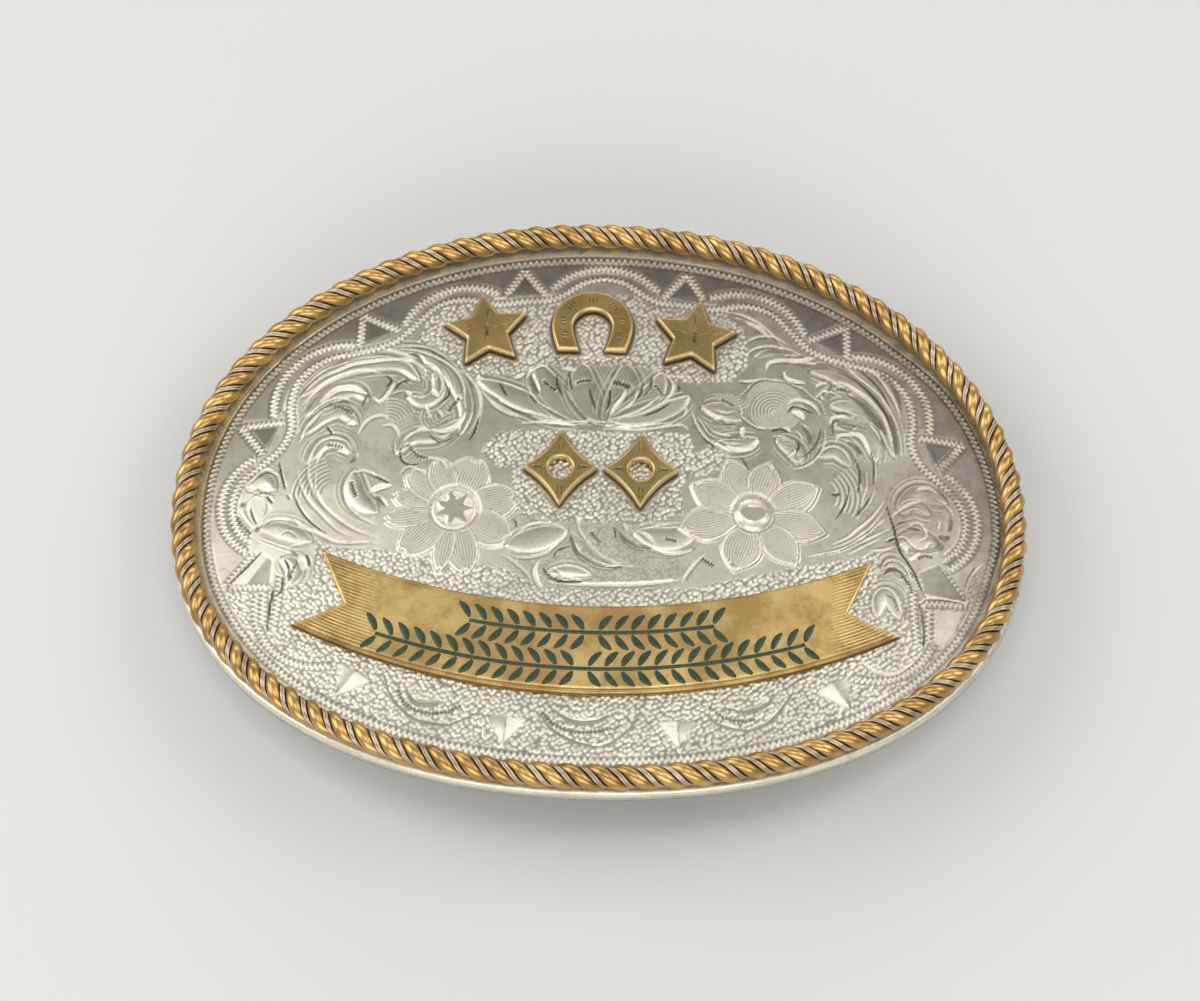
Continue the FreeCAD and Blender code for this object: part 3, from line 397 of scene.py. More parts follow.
DARK_STROKES = [
    # left scroll
    (0.2, (-26.4, 13.4), (-26.7, 12.6), (-27.05, 11.9)),
    (0.35, (-24.6, 15.8), (-23.8, 15.3), (-24, 14.8), (-24.4, 14.3)),
    (0.2, (-33, 10.3), (-31.9, 11.4), (-30.6, 12.3), (-29.3, 12.6), (-28, 12.2)),
    (0.2, (-22, 19.3), (-20, 19), (-18.2, 17.9), (-16.7, 16.7)),
    (0.5, (-22.1, 18.6), (-21, 18.2), (-20.2, 17.2)),
    (0.3, (-13.7, 10), (-14.1, 8.4), (-14.7, 7.2)),
    (0.35, (-23.4, 14), (-22.7, 14.9), (-21.6, 15.1)),
    (0.3, (-17.1, 14.1), (-17.3, 12.9), (-18.3, 12)),
    (0.7, (-19.1, 7.9), (-17.8, 7.2), (-16.2, 7.9), (-15.3, 9.3)),
    (0.3, (-22.3, 6.3), (-22.1, 5), (-21.2, 4.3), (-20, 4.4)),
    (0.25, (-34, 1.2), (-33, -.95), (-31.6, -2.7), (-29.8, -4.1)),
    (0.3, (-35.9, 5.2), (-35.6, 3.9), (-35.2, 2.6), (-34.9, 1.6)),
    (0.2, (-34.7, 1), (-34.5, .7), (-34.3, .3)),
    (0.4, (-25.6, 3.3), (-24.5, 2.7), (-23.2, 2)),
    (0.8, (-24.9, .4), (-24.1, -.2), (-23.5, -1)),
    (0.5, (-27.8, 4.7), (-27.4, 5.2), (-27.2, 5.9)),
    (0.3, (-30.9, 9.6), (-30.4, 8.9), (-30, 8.3)),
    # left end
    (0.3, (-38.1, 3.2), (-37.2, 3.9), (-36, 3.4)),
    (0.15, (-38.7, .95), (-38, 1.3), (-36.95, 1.4), (-36, .95)),
    (0.35, (-36.95, .95), (-36.5, .35), (-36.2, 0)),
    (0.3, (-38.7, -.5), (-38.3, -1.6), (-37.8, -2.6)),
    (0.2, (-33.65, -6.1), (-33.3, -6.25), (-32.95, -6.5)),
    (0.45, (-34.35, -7.05), (-33.75, -8.1), (-33.65, -9.8)),
    (0.25, (-32.9, -7.6), (-33.3, -8.6), (-33.5, -9.8)),
    (0.5, (-31.9, -6.5), (-31.6, -7.2), (-31.5, -8)),
    # right scroll
    (0.25, (11, 9.05), (11.6, 8.1), (12.3, 7.4), (12.8, 6.85)),
    (0.9, (12.4, 10.6), (13.5, 10), (15, 10.3)),
    (0.38, (20.9, 12.1), (21.4, 12.85), (22.5, 12.75), (23.7, 12.2)),
    (0.2, (24.4, 10.7), (24.5, 10), (24.15, 8.6), (23.2, 7.15), (22.15, 6.2)),
    (0.38, (22, 8.6), (22.1, 7.7), (21.7, 7)),
    (0.4, (19, 9.6), (20, 9.9), (20.9, 9.6)),
    (0.22, (15.5, 6.0), (15.9, 5.6), (16.25, 5), (16.5, 4.1)),
    (0.9, (22.5, 18.2), (24.5, 18.6), (26.3, 18.4), (28, 17.6), (29.7, 16.2), (31, 14.7), (32, 13),
     (32.6, 11), (33, 9), (33, 8)),
    (0.3, (28.8, 18.6), (30.1, 17.5), (31.4, 16), (32.4, 14.1)),
    (0.55, (31.4, 18.2), (32.6, 17.3), (33.3, 15.6), (33.7, 13.7)),
    (0.7, (25.8, 16.1), (25.4, 15.5), (25, 14.8)),
    (1.0, (26.6, 15.1), (28.5, 14.6), (29.8, 13.6), (30.8, 12.3), (31.4, 10.8)),
    (0.22, (26.1, 12.3), (26.7, 12.6), (27.8, 12.5), (28.7, 12.1)),
    (0.25, (26, 11.6), (25.9, 10.5), (26.1, 9.7)),
    (1.2, (26.4, 11.1), (28, 10.9), (29.6, 10.7)),
    (0.28, (28.4, 7.05), (28.7, 6), (28.9, 4.8), (28.8, 3.5), (28.6, 2.5)),
    (0.24, (30.2, 7.9), (30.5, 6.8), (30.5, 5.3), (30.4, 3.8)),
    (0.26, (27.6, 3.4), (27.6, 2.3), (27.4, 1.5), (26.7, 0), (26.1, -.95)),
    (0.3, (29.9, 2.1), (29.4, 1.05), (28.7, 0), (28.4, -.4)),
    (0.45, (25.7, 2.3), (26.2, 2.1), (26.6, 2.35)),
    (1.0, (17.1, 18.8), (18.6, 19.6), (20.6, 19.9), (22.7, 19.4)),
    (0.8, (14.6, 23.9), (16.2, 23.2), (17.2, 22.2)),
    (0.7, (11, 10.6), (12.4, 8.8), (14.8, 8.4)),
    (0.7, (22.4, 10.8), (23.2, 9.6), (23.3, 8.2)),
    (0.7, (27.6, 9.0), (28.6, 8.4), (29, 7.4)),
    (0.6, (29.8, 14.0), (31, 12.4), (31.9, 10.2)),
    # right end
    (0.2, (33.8, -2.9), (34.4, -3.3), (34.9, -3.8)),
    (0.7, (37.6, -1.8), (38.3, -2.1), (38.8, -1.7)),
    (0.5, (38.9, .9), (39, 0), (38.8, -1.2)),
    (0.25, (33, -.9), (33.5, -.6), (34, -.5)),
    (0.3, (34.1, -1.3), (34.8, -1.2), (35.6, -1.5)),
    (0.3, (33.6, -6), (34.2, -6.6), (34.6, -7.2)),
    (0.3, (31.5, -5.7), (32.1, -5.5), (32.8, -5.6)),
    (0.4, (31.3, -7.2), (32.3, -6.5), (33.4, -7), (34, -8.2)),
    (0.18, (31.3, -9.7), (32.3, -10.2), (32.9, -11.8)),
    (0.35, (35.3, -10.4), (35.6, -13), (35.6, -15.9)),
    (0.35, (-35.3, -10.6), (-35.5, -13), (-35.6, -15.6)),
    (0.25, (-36.9, -5.9), (-38.4, -7.7), (-40.4, -9.9)),
    (0.3, (-34.9, -11.6), (-34.3, -10.6), (-34.4, -9.2)),
    (0.22, (36.2, -9.75), (38.2, -9.7), (40.3, -9.95)),
    (0.4, (41.6, -5.2), (40.8, -6.8), (40.4, -9.4)),
    (0.6, (38.1, -5.2), (38.9, -4.9), (39.6, -4.1)),
    # palmette
    (0.35, (-5.2, 15.6), (-5.0, 14.2), (-4.4, 12.9)),
    (0.4, (-1.5, 14), (-1.1, 12.6), (-.6, 11.2)),
    (0.4, (.9, 13.9), (.9, 12.6), (.6, 11.2)),
    (0.5, (5.6, 15.6), (5.4, 14.4), (4.8, 13.2)),
    (0.3, (-11, 11.9), (-9.6, 11), (-7.8, 10.5)),
    (0.3, (7.6, 12.3), (6.2, 11.3), (4.6, 10.5)),
    (0.7, (-8, 15.7), (-7.7, 14.6), (-7.1, 13.2)),
    (0.3, (-3.75, 16), (-3.6, 15), (-3.4, 13.7)),
    (0.35, (-11.6, 14.6), (-11.2, 13.8), (-10.6, 12.8)),
    (0.3, (4.5, 14.6), (4.3, 13.4), (3.4, 12)),
    (0.25, (8.55, 15), (8.6, 14.4), (8.5, 13.9)),
    (0.2, (-8.1, 13), (-7.7, 12.4), (-7.2, 11.9)),
    # under the lozenges
    (0.8, (-3, -4.5), (-2.3, -6.3), (-1.5, -7.2), (-.2, -8), (1.2, -8.3), (2.7, -8.2)),
    (0.8, (2.3, -3.8), (3.2, -5), (4.5, -5.75), (5.8, -5.8)),
    (0.45, (-5.8, -8.5), (-5.2, -9.5), (-3.7, -10.1), (-1.5, -10.1)),
    (0.2, (-4.7, -7.2), (-4.3, -6.3), (-3, -5.9)),
    (0.2, (1.7, -3.3), (1.9, -4), (2, -4.7)),
    (0.2, (-9.4, -2.4), (-9, -3), (-8.9, -3.8)),
]
LOW_STROKES = [
    # smooth grooves round the lower scallops
    (0.5, (-22.5, -21.1), (-21.5, -23.6), (-20.1, -25.3), (-18.4, -26.5), (-15.7, -27), (-14.6, -26.8),
     (-12.2, -25.6), (-11.2, -24.4)),
    (0.5, (-5.7, -25.3), (-4.6, -27), (-2.6, -28.4), (-.1, -29.2), (1.2, -29.2), (2.6, -28.4),
     (4.3, -26.7), (5, -25.3)),
    (0.5, (11.6, -24.6), (13, -26), (15.4, -26.7), (16.8, -26.7), (18.8, -25.6), (20.6, -23.2),
     (21.6, -21.8)),
    (0.9, (-19.9, -23), (-18.6, -24.5), (-15.7, -24.4)),
    (0.9, (-3.9, -25.4), (-1.9, -26.4), (.2, -26.4), (1.9, -25.6)),
    (0.7, (13.7, -24.2), (16.1, -24.6), (18.5, -23.6), (19.2, -22.2)),
]
TEETH = [
    # rows of short dark cuts: half length, pitch, and the line that they stand across
    (0.5, 0.42, (-30.2, 11.9), (-29.4, 11.8), (-28, 10.9)),
    (0.45, 0.4, (-30.6, 7.1), (-29.6, 6.9), (-28.8, 6.6)),
    (0.6, 0.42, (-17.2, 11), (-16.6, 11.9), (-15.9, 12.7)),
    (0.5, 0.36, (-21.6, 6.8), (-20.9, 6.1), (-20.2, 5.4), (-19.1, 5.1)),
    (0.5, 0.36, (-27.5, 2.3), (-27.2, 1.3), (-26.8, .4)),
    (0.5, 0.3, (13.4, 13.3), (14.1, 13), (14.8, 12.5)),
    (0.4, 0.3, (14.05, 8.3), (15, 8.4), (15.9, 8.4)),
    (0.5, 0.34, (-2.9, 14.6), (-2.2, 14.9), (-1.2, 15)),
    (0.8, 0.34, (1.2, 14.9), (2.2, 14.6), (3.1, 14.2)),
    (0.5, 0.3, (-.7, -3.9), (-.3, -4.6), (.3, -5.2)),
    (0.5, 0.42, (-20.8, -22.9), (-19.8, -24.7), (-17.7, -25.6), (-15.7, -25.6), (-13.9, -24.8)),
    (0.5, 0.42, (-5.3, -25.4), (-3.9, -26.9), (-1.9, -27.6), (.2, -27.6), (2, -27.1)),
    (0.45, 0.42, (12.3, -24.2), (14, -25.4), (16, -25.7), (17.3, -25.4)),
    (0.5, 0.5, (-40.1, -1.4), (-39.5, -2.4), (-38.4, -3.6)),
    (0.5, 0.4, (26.4, 15.6), (27.2, 15.6), (28.1, 15.3)),
    (0.5, 0.3, (7.4, -4.6), (8, -4.7), (8.6, -4.9)),
    (0.6, 0.34, (11.4, -6.7), (12.0, -7.1), (12.7, -7.6)),
    (0.16, 0.45, (31, -1.2), (29.8, -2.5), (28.2, -3.8), (26.3, -4.9), (24, -5.6)),
    (0.35, 0.36, (33.3, -7.2), (34.1, -8), (34.5, -9.2)),
    (0.35, 0.36, (35.2, -4.9), (36, -4.5), (36.9, -4.6)),
    (0.4, 0.32, (-6.6, 14.9), (-6, 14.2), (-5.2, 13.6)),
    (0.4, 0.32, (5.9, 14.6), (6.4, 14), (6.8, 13.2)),
]
# Smooth facets: corners, how pale, and how dark at the left and at the right, as painted light and shade.
FACETS = [
    ([(35.3, -6.6), (37.5, -5.4), (40.4, -9.5), (35.9, -9.1)], 0.1, 0.3, 0.66),
    ([(35.9, -9.1), (40.4, -9.5), (40.5, -9.9), (36.2, -9.8)], 0.95, 0.0, 0.0),
    ([(-37, -6), (-40.2, -9.8), (-38.4, -9.9), (-36.2, -6.6)], 0.85, 0.0, 0.1),
    ([(-36.2, -6.6), (-38.4, -9.9), (-35.6, -9.9), (-35.7, -6.9)], 0.3, 0.5, 0.2),
    ([(36.9, -10.9), (39.9, -10.9), (39.2, -13.4), (37.6, -15.8), (36.8, -14.6)], 0.6, 0.0, 0.1),
]
# Wriggle cuts of the lower corners, right side.
CORNER_LINES = [[(34.5, -8.8), (34.6, -12), (34.9, -15.4)], [(36.3, -11), (36.2, -13), (36.1, -15)]]
# Sets of fine concentric arcs: middle, first and last radius, first and last angle, how many.
ARC_SETS = [
    ((19.4, 12.0), 0.3, 2.6, 40, 210, 6),
    ((14.9, 14.1), 0.5, 2.0, 180, 320, 4),
    ((-23.9, 9.5), 0.8, 3.3, 20, 100, 6),
    ((20.6, 7.0), 0.3, 1.4, -20, 110, 3),
    ((-20.4, 15.2), 0.4, 2.2, -10, 90, 4),
    ((24.0, 2.0), 2.4, 5.2, -35, 50, 5),
    ((-29.5, 1.0), 1.6, 4.6, 100, 190, 6),
    ((-18.0, 10.4), 0.6, 2.2, 150, 280, 4),
    ((-31.4, 13.2), 0.6, 2.2, 250, 350, 4),
    ((35.2, 0.2), 0.6, 2.2, 20, 150, 4),
]
# The crack at the right end.
CRACK_WIDTH = 0.3
CRACK = [(31.8, 1.6), (32, .6), (32.4, -.7), (32.7, -1.8), (32.8, -2.6), (33, -3.4), (33.2, -4.1),
         (33.7, -4.9), (34.2, -5.7), (34.7, -6.6), (35.3, -8.2), (35.9, -9.5)]
CRACK_BRANCH = [(32.9, -2.6), (32.2, -2.95), (31.7, -3.2)]

# Stains: place, radius, how dark.
STAINS = [((42, -8), 2.6, 0.5), ((41, -13), 2.2, 0.4), ((38.6, 7.4), 2.2, 0.5), ((40.7, 5), 1.6, 0.5),
          ((36, 14.5), 1.8, 0.35), ((42.6, -3), 1.4, 0.4), ((34.5, 19), 1.5, 0.35), ((37, 1.8), 2.2, 0.3),
          ((-5.8, -29.2), 0.8, 0.6), ((33.2, 21.4), 1.3, 0.5), ((38.4, 8), 1.2, 0.5), ((39.5, 3.5), 1, 0.5),
          ((37.7, -3.2), 0.8, 0.6), ((41.6, -9), 1.1, 0.5), ((36.9, -15.6), 1.2, 0.4),
          ((31.5, 9.2), 0.7, 0.5),
          ((-37.7, -3.2), 0.5, 0.8), ((-39.6, 0), 0.5, 0.8), ((-36, -15), 0.6, 0.4), ((17, 27.6), 1.5, 0.4)]

# Punched ground, as outlines in the plan.
GROUNDS = [
    [(-18.6, 17.6), (-21.2, 20.2), (-19.5, 24.4), (-13, 26.2), (-7, 26.2), (0, 26.6), (7, 26.2),
     (13, 25.6), (16, 22.5), (16.5, 18), (14.6, 15.6), (9, 15.2), (4, 16.9), (-6, 16.9), (-10, 15.8),
     (-14.6, 15.4)],
    [(-9.8, 8.7), (9.9, 8.7), (10.6, 5.5), (9, 1.5), (9.4, -1.5), (5, -2.8), (-6, -2.8), (-9.4, -1.6),
     (-9.6, 3.6), (-11.6, 5.6)],
    [(-13.5, 6.2), (-11.4, 8.3), (-9.6, 8.4), (-9.6, 4.2), (-11, 3.6)],
    [(-24, -6.2), (-10, -8.6), (-6, -11), (10, -10.6), (14, -9.4), (24, -6.6), (31, -5),
     (30, -8.6), (14, -12.5), (0, -14), (-16, -12.5), (-31, -7.6), (-31, -5.6)],
    [(9.9, 5.6), (13, 8.4), (14.5, 6.2), (13, 4), (10.2, 3)],
    [(43.3, -5), (40.7, -7.2), (40.4, -10.9), (42.1, -11.2), (43.4, -8)],
]

# The floor, and the camera measured from the middle of the front surface
FLOOR_HALF = 3.0                              # metres
CAMERA_TILT = (-0.48083, 0.00217, -0.02724)   # turns about X, Y and Z, in radians
CAMERA_OFFSET = (0.1315, -0.1130, 308.0)      # in the camera's own right, up and back, millimetres
CAMERA_LENS = 84.0
SENSOR_WIDTH = 36.0

# Soft lights: name, azimuth, elevation, distance, width, height in metres, and power in watts.
LIGHTS = [
    ("front_box", 180, 32, 0.7, 0.9, 0.35, 2.3),
    ("left_box", -80, 38, 0.7, 0.5, 0.5, 1.9),
    ("right_box", 75, 45, 0.7, 0.4, 0.4, 1.1),
    ("top_box", 180, 86, 0.8, 0.35, 0.25, 0.9),
    ("back_strip", 0, 24, 0.8, 0.9, 0.18, 1.3),
]
ROOM_LIGHT = 0.4


def half_height_at(x):
    """Half of the plate's height over x: the superellipse solved for y."""
    return HALF_HEIGHT * np.clip(1 - (np.abs(x) / HALF_LENGTH) ** OVAL_POWER, 0, 1) ** (1 / OVAL_POWER)


def front_z(x):
    """Height of the bent plate's front surface: a circle about the bend's axis."""
    return CROWN_Z - BEND_RADIUS + np.sqrt(BEND_RADIUS ** 2 - x * x)


def oval_ring(count, inset=0.0):
    """Evenly spaced points of the oval moved inwards: x, y, the outward normals there, and the
    whole length. The oval is the superellipse by its angle, its normal the slope of its formula."""
    angle = np.linspace(0, TAU, 6001)
    c, s = np.cos(angle), np.sin(angle)
    x = HALF_LENGTH * np.sign(c) * np.abs(c) ** (2 / OVAL_POWER)
    y = HALF_HEIGHT * np.sign(s) * np.abs(s) ** (2 / OVAL_POWER)
    nx = np.sign(x) * (np.abs(x) / HALF_LENGTH) ** (OVAL_POWER - 1) / HALF_LENGTH
    ny = np.sign(y) * (np.abs(y) / HALF_HEIGHT) ** (OVAL_POWER - 1) / HALF_HEIGHT
    size = np.hypot(nx, ny)
    x, y = x - inset * nx / size, y - inset * ny / size
    run = np.concatenate([[0], np.cumsum(np.hypot(np.diff(x), np.diff(y)))])
    at = np.linspace(0, run[-1], count, endpoint=False)
    columns = [np.interp(at, run, values) for values in (x, y, nx / size, ny / size)]
    return (*columns, run[-1])


def inset_and_run(x, y):
    """Distance inside the oval, and the place along it: the nearest of evenly spaced ring points,
    found from the direction and then refined along the ring's tangent."""
    rx, ry, nx, ny, length = oval_ring(2400)
    direction = np.arctan2(ry / HALF_HEIGHT, rx / HALF_LENGTH) % TAU
    place = np.arange(len(rx)) * length / len(rx)
    order = np.argsort(direction)
    run = np.interp(np.arctan2(y / HALF_HEIGHT, x / HALF_LENGTH) % TAU, direction[order], place[order],
                    period=TAU)
    for _ in range(6):
        index = (run / length * len(rx)).astype(int) % len(rx)
        run = (run + 0.8 * ((y - ry[index]) * nx[index] - (x - rx[index]) * ny[index])) % length
    index = (run / length * len(rx)).astype(int) % len(rx)
    inset = (rx[index] - x) * nx[index] + (ry[index] - y) * ny[index]
    return inset, run


def smooth_line(points, per_span=6):
    """Catmull-Rom curve through the points, each span sampled evenly."""
    p = np.array(points, float)
    p = np.vstack([2 * p[0] - p[1], p, 2 * p[-1] - p[-2]])
    t = np.linspace(0, 1, per_span, endpoint=False)[None, :, None]
    a, b, c, d = (p[i:len(p) - 3 + i, None, :] for i in range(4))
    spans = 0.5 * (2 * b + (c - a) * t + (2 * a - 5 * b + 4 * c - d) * t ** 2
                   + (3 * b - a - 3 * c + d) * t ** 3)
    return np.vstack([spans.reshape(-1, 2), p[-2]])


def circle_through(first, middle, last):
    """Middle and radius of the circle through three points."""
    a, b, c = (np.array(p, float) for p in (first, middle, last))
    m = 2 * np.array([b - a, c - a])
    centre = np.linalg.solve(m, np.array([b @ b - a @ a, c @ c - a @ a]))
    return centre, float(np.hypot(*(a - centre)))


def arc_points(first, middle, last, offset=0.0, count=40):
    """Points of the arc through three points, moved away from its middle by offset."""
    centre, radius = circle_through(first, middle, last)
    start, mid, end = (math.atan2(p[1] - centre[1], p[0] - centre[0]) for p in (first, middle, last))
    mid = start + (mid - start + math.pi) % TAU - math.pi
    end = mid + (end - mid + math.pi) % TAU - math.pi
    angle = np.linspace(start, end, count)
    return centre + (radius + offset) * np.column_stack([np.cos(angle), np.sin(angle)])


def inside(x, y, outline):
    """Whether points lie in an outline, by counting the sides that a ray crosses."""
    result = np.zeros(x.shape, bool)
    for (x1, y1), (x2, y2) in zip(outline, [*outline[1:], outline[0]]):
        crosses = (y1 > y) != (y2 > y)
        result ^= crosses & (x < (x2 - x1) * (y - y1) / (y2 - y1 + 1e-12) + x1)
    return result


def step(low, high, value):
    """Smooth rise from 0 at low to 1 at high."""
    t = np.clip((value - low) / (high - low), 0, 1)
    return t * t * (3 - 2 * t)


def wave(value):
    """Even wave from 0 to 1 that is highest at whole numbers."""
    return 0.5 + 0.5 * np.cos(TAU * value)


def unit(vectors):
    """Vectors divided by their lengths."""
    return vectors / np.linalg.norm(vectors, axis=-1, keepdims=True)


def lattice(i, j, seed):
    """Repeatable random numbers from 0 to 1 for whole numbers i and j."""
    value = np.sin(i * 127.1 + j * 311.7 + seed * 74.7) * 43758.5453
    return value - np.floor(value)


def blotches(x, y, size, seed):
    """Soft noise from 0 to 1: random numbers on a lattice, blended smoothly between its corners."""
    u, v = x / size, y / size
    i, j = np.floor(u), np.floor(v)
    a, b = step(0, 1, u - i), step(0, 1, v - j)
    low = lattice(i, j, seed) * (1 - a) + lattice(i + 1, j, seed) * a
    high = lattice(i, j + 1, seed) * (1 - a) + lattice(i + 1, j + 1, seed) * a
    return low * (1 - b) + high * b


def punch_marks(x, y, pitch, seed):
    """Punched ground: a round bump at a jittered place in each cell of a turned lattice, the highest
    one counts."""
    jitter, spread = 0.7, 0.27
    c, s = math.cos(GROUND_TURN), math.sin(GROUND_TURN)
    u, v = (x * c + y * s) / pitch, (y * c - x * s) / pitch
    best = np.zeros(x.shape)
    for di in (-1, 0, 1):
        for dj in (-1, 0, 1):
            i, j = np.floor(u) + di, np.floor(v) + dj
            gap_u = u - i - 0.5 - jitter * (lattice(i, j, seed) - 0.5)
            gap_v = v - j - 0.5 - jitter * (lattice(i, j, seed + 1) - 0.5)
            tall = 0.5 + 0.5 * lattice(i, j, seed + 2)
            best = np.maximum(best, tall * np.clip(1 - (gap_u ** 2 + gap_v ** 2) / spread, 0, 1))
    return best


class Engraving:
    """Engraved surface over a plan. Its layers have one number at each point: how far it is raised
    and how deeply cut, how frosted and pale with painted highlight, how dark, blackened and with
    painted shade, whether it belongs to the punched ground, and whether something is engraved
    there already."""

    def __init__(self, x, y):
        self.x, self.y = x, y
        layers = np.zeros((6, *x.shape))
        self.raised, self.cut, self.frost, self.soot, self.ground, self.busy = layers

    def lift(self, where=..., **values):
        """Brings layers up to values at the points of an index, wherever they are lower."""
        for name, value in values.items():
            layer = getattr(self, name)
            layer[where] = np.maximum(layer[where], value)

    def fill(self, where, **values):
        """Sets layers to values wherever a mask over the whole plan holds."""
        for name, value in values.items():
            np.copyto(getattr(self, name), value, where=where)

    def near(self, line, reach):
        """Indices of the plan's points close to a line's box."""
        low, high = line.min(0) - reach, line.max(0) + reach
        hit = (self.x > low[0]) & (self.x < high[0]) & (self.y > low[1]) & (self.y < high[1])
        return np.nonzero(hit)

    def measure(self, line, reach):
        """The points near a line, their signed distance to it, positive on its left, and the length
        and the share along it: the nearest of its straight spans counts."""
        where = self.near(line, reach)
        px, py = self.x[where], self.y[where]
        spans = np.hypot(*np.diff(line, axis=0).T)
        starts = np.concatenate([[0], np.cumsum(spans)])
        best = np.full(px.shape, np.inf)
        side = np.zeros(px.shape)
        run = np.zeros(px.shape)
        for (ax, ay), (bx, by), span, start in zip(line, line[1:], spans, starts):
            if span < 1e-9:
                continue
            tx, ty = (bx - ax) / span, (by - ay) / span
            along = np.clip((px - ax) * tx + (py - ay) * ty, 0, span)
            gap = (px - ax - along * tx) ** 2 + (py - ay - along * ty) ** 2
            closer = gap < best
            best = np.where(closer, gap, best)
            side = np.where(closer, np.sign(tx * (py - ay) - ty * (px - ax)), side)
            run = np.where(closer, start + along, run)
        return where, np.sqrt(best) * side, run, run / starts[-1]

    def stroke(self, width, points, slope=0.42, lean=0.45, frost=0.0, soot=0.0, shadow=0.0):
        """Cut of a graver: a V groove whose valley leans to one side, widest in its middle, with
        pointed ends. Its depth is a share of its width. It is painted pale as a highlight, or dark,
        blackened and with painted shade, and a thin line of painted shadow may lie beside it."""
        where, gap, _, share = self.measure(smooth_line(points), width + 0.3)
        half = np.maximum(width / 2 * (4 * share * (1 - share) + 0.04) ** 0.55, 0.03)
        across = np.clip(gap / half, -1, 1)
        wall = np.where(across < lean, (across + 1) / (1 + lean), (1 - across) / (1 - lean))
        cover = step(1.15, 0.75, np.abs(gap / half))
        self.lift(where, cut=slope * half * wall, busy=cover)
        self.frost[where] = np.maximum(self.frost[where] * (1 - cover * (soot > 0)), frost * cover)
        self.soot[where] = np.maximum(self.soot[where] * (1 - cover * (frost > 0)), soot * cover)
        # painted shadow: a thin dark line along one side of the cut
        beside = step(0.16, 0.04, np.abs(gap + half + 0.12)) * step(0.0, 0.2, share * (1 - share))
        self.lift(where, soot=shadow * beside)

    def leaf(self, width, pale, points):
        """Pillowed leaf along a line, blunt at its start and pointed at its end, with fine echo lines
        round it that fade with their distance. Light and shade are painted on it: paler just inside
        the edge, a dark rim, shade over one side, and pale ridges with dark valleys in the echo lines."""
        where, gap, _, share = self.measure(smooth_line(points), width / 2 + ECHO_REACH)
        half = width / 2 * np.clip(4 * share * (1 - share) + 0.02, 0.02, 1) ** 0.5
        edge = half - np.abs(gap)
        body = step(0.0, 0.3, edge)
        bow = np.clip(1 - (gap / half) ** 2, 0, 1)
        lines = wave(edge / ECHO_PITCH)
        echo = step(-0.12, -0.3, edge) * step(-ECHO_REACH, -0.5, edge) * ((share > 0.02) & (share < 0.98))
        self.lift(where, raised=body * (0.05 + 0.15 * bow), frost=0.75 * echo * lines,
                  soot=0.3 * echo * (1 - lines))
        self.raised[where] += ECHO_HEIGHT * echo * lines * (self.raised[where] < 0.02)
        # painted light and shade: pale band inside the edge, dark rim, and shade over one side
        on_leaf = 0.55 * pale + 0.35 * step(0.6, 0.3, edge)
        self.frost[where] = np.where(body > 0.5, on_leaf, self.frost[where])
        rim = step(-0.2, 0.0, edge) * step(0.2, 0.06, edge)
        shade = 0.42 * step(0.0, 0.9, gap / half) * step(0.1, 0.35, edge)
        self.soot[where] = np.maximum(self.soot[where] * (body < 0.5), np.maximum(0.55 * rim, shade))
        self.ground[where] *= body < 0.3

    def wriggle(self, where, gap, run):
        """Line rocked out with a flat graver: a zigzag ridge in a shallow groove, painted bright on
        the ridge as a highlight and dark between its teeth as shade.
        """
        phase = run / TOOTH_PITCH
        zigzag = 4 * np.abs(phase - np.floor(phase + 0.5)) - 1
        ridge = np.clip(1.25 - np.abs(gap - TOOTH_SWING * zigzag) / TOOTH_HALF, 0, 1)
        groove = step(WRIGGLE_HALF, 0.5, np.abs(gap))
        self.raised[where] += groove * (TOOTH_HEIGHT * ridge - WRIGGLE_DEPTH)
        self.soot[where] = self.soot[where] * (1 - groove) + groove * 0.62 * (1 - ridge) ** 2
        self.lift(where, frost=groove * (0.5 + 0.5 * ridge), busy=groove)

    def wriggle_line(self, points):
        """Wriggle cut along a line of points, cut off square at its ends."""
        where, gap, run, share = self.measure(np.array(points, float), 0.8)
        between = (share > 0.001) & (share < 0.999)
        self.wriggle(tuple(index[between] for index in where), gap[between], run[between])

    def teeth(self, length, pitch, points):
        """Row of short dark cuts across a line: tapering grooves that repeat along it, blackened and
        with painted shade, and with a painted pale highlight on the metal beside them.
        """
        where, gap, run, share = self.measure(smooth_line(points), length)
        phase = run / pitch
        beside = np.abs(phase - np.floor(phase) - 0.5) * 2
        reach = np.clip(1 - np.abs(gap) / (0.8 * length), 0, 1)
        tooth = np.clip(reach * 1.4 - beside, 0, 1) * ((share > 0.002) & (share < 0.998))
        self.lift(where, cut=0.25 * pitch * tooth, soot=0.85 * step(0.05, 0.4, tooth),
                  frost=0.6 * step(0.0, 0.25, reach) * (tooth < 0.05))

    def arcs(self, middle, first, last, start, end, count):
        """Fine concentric arcs: ridges at even radii that fade at both ends, painted pale on the ridges
        as a highlight and dark between them as shade.
        """
        gx, gy = self.x - middle[0], self.y - middle[1]
        radius = np.hypot(gx, gy)
        angle = np.degrees(np.arctan2(gy, gx))
        mid, half = (start + end) / 2, (end - start) / 2
        off = np.abs((angle - mid + 180) % 360 - 180) / half
        pitch = (last - first) / count
        fade = step(1.0, 0.75, off) * step(first - pitch, first, radius) * step(last + pitch, last, radius)
        lines = wave((radius - first) / pitch)
        self.raised += ARC_HEIGHT * fade * lines
        self.fill(fade > 0.3, frost=0.2 + 0.65 * lines)
        self.lift(soot=0.42 * fade * (1 - lines))

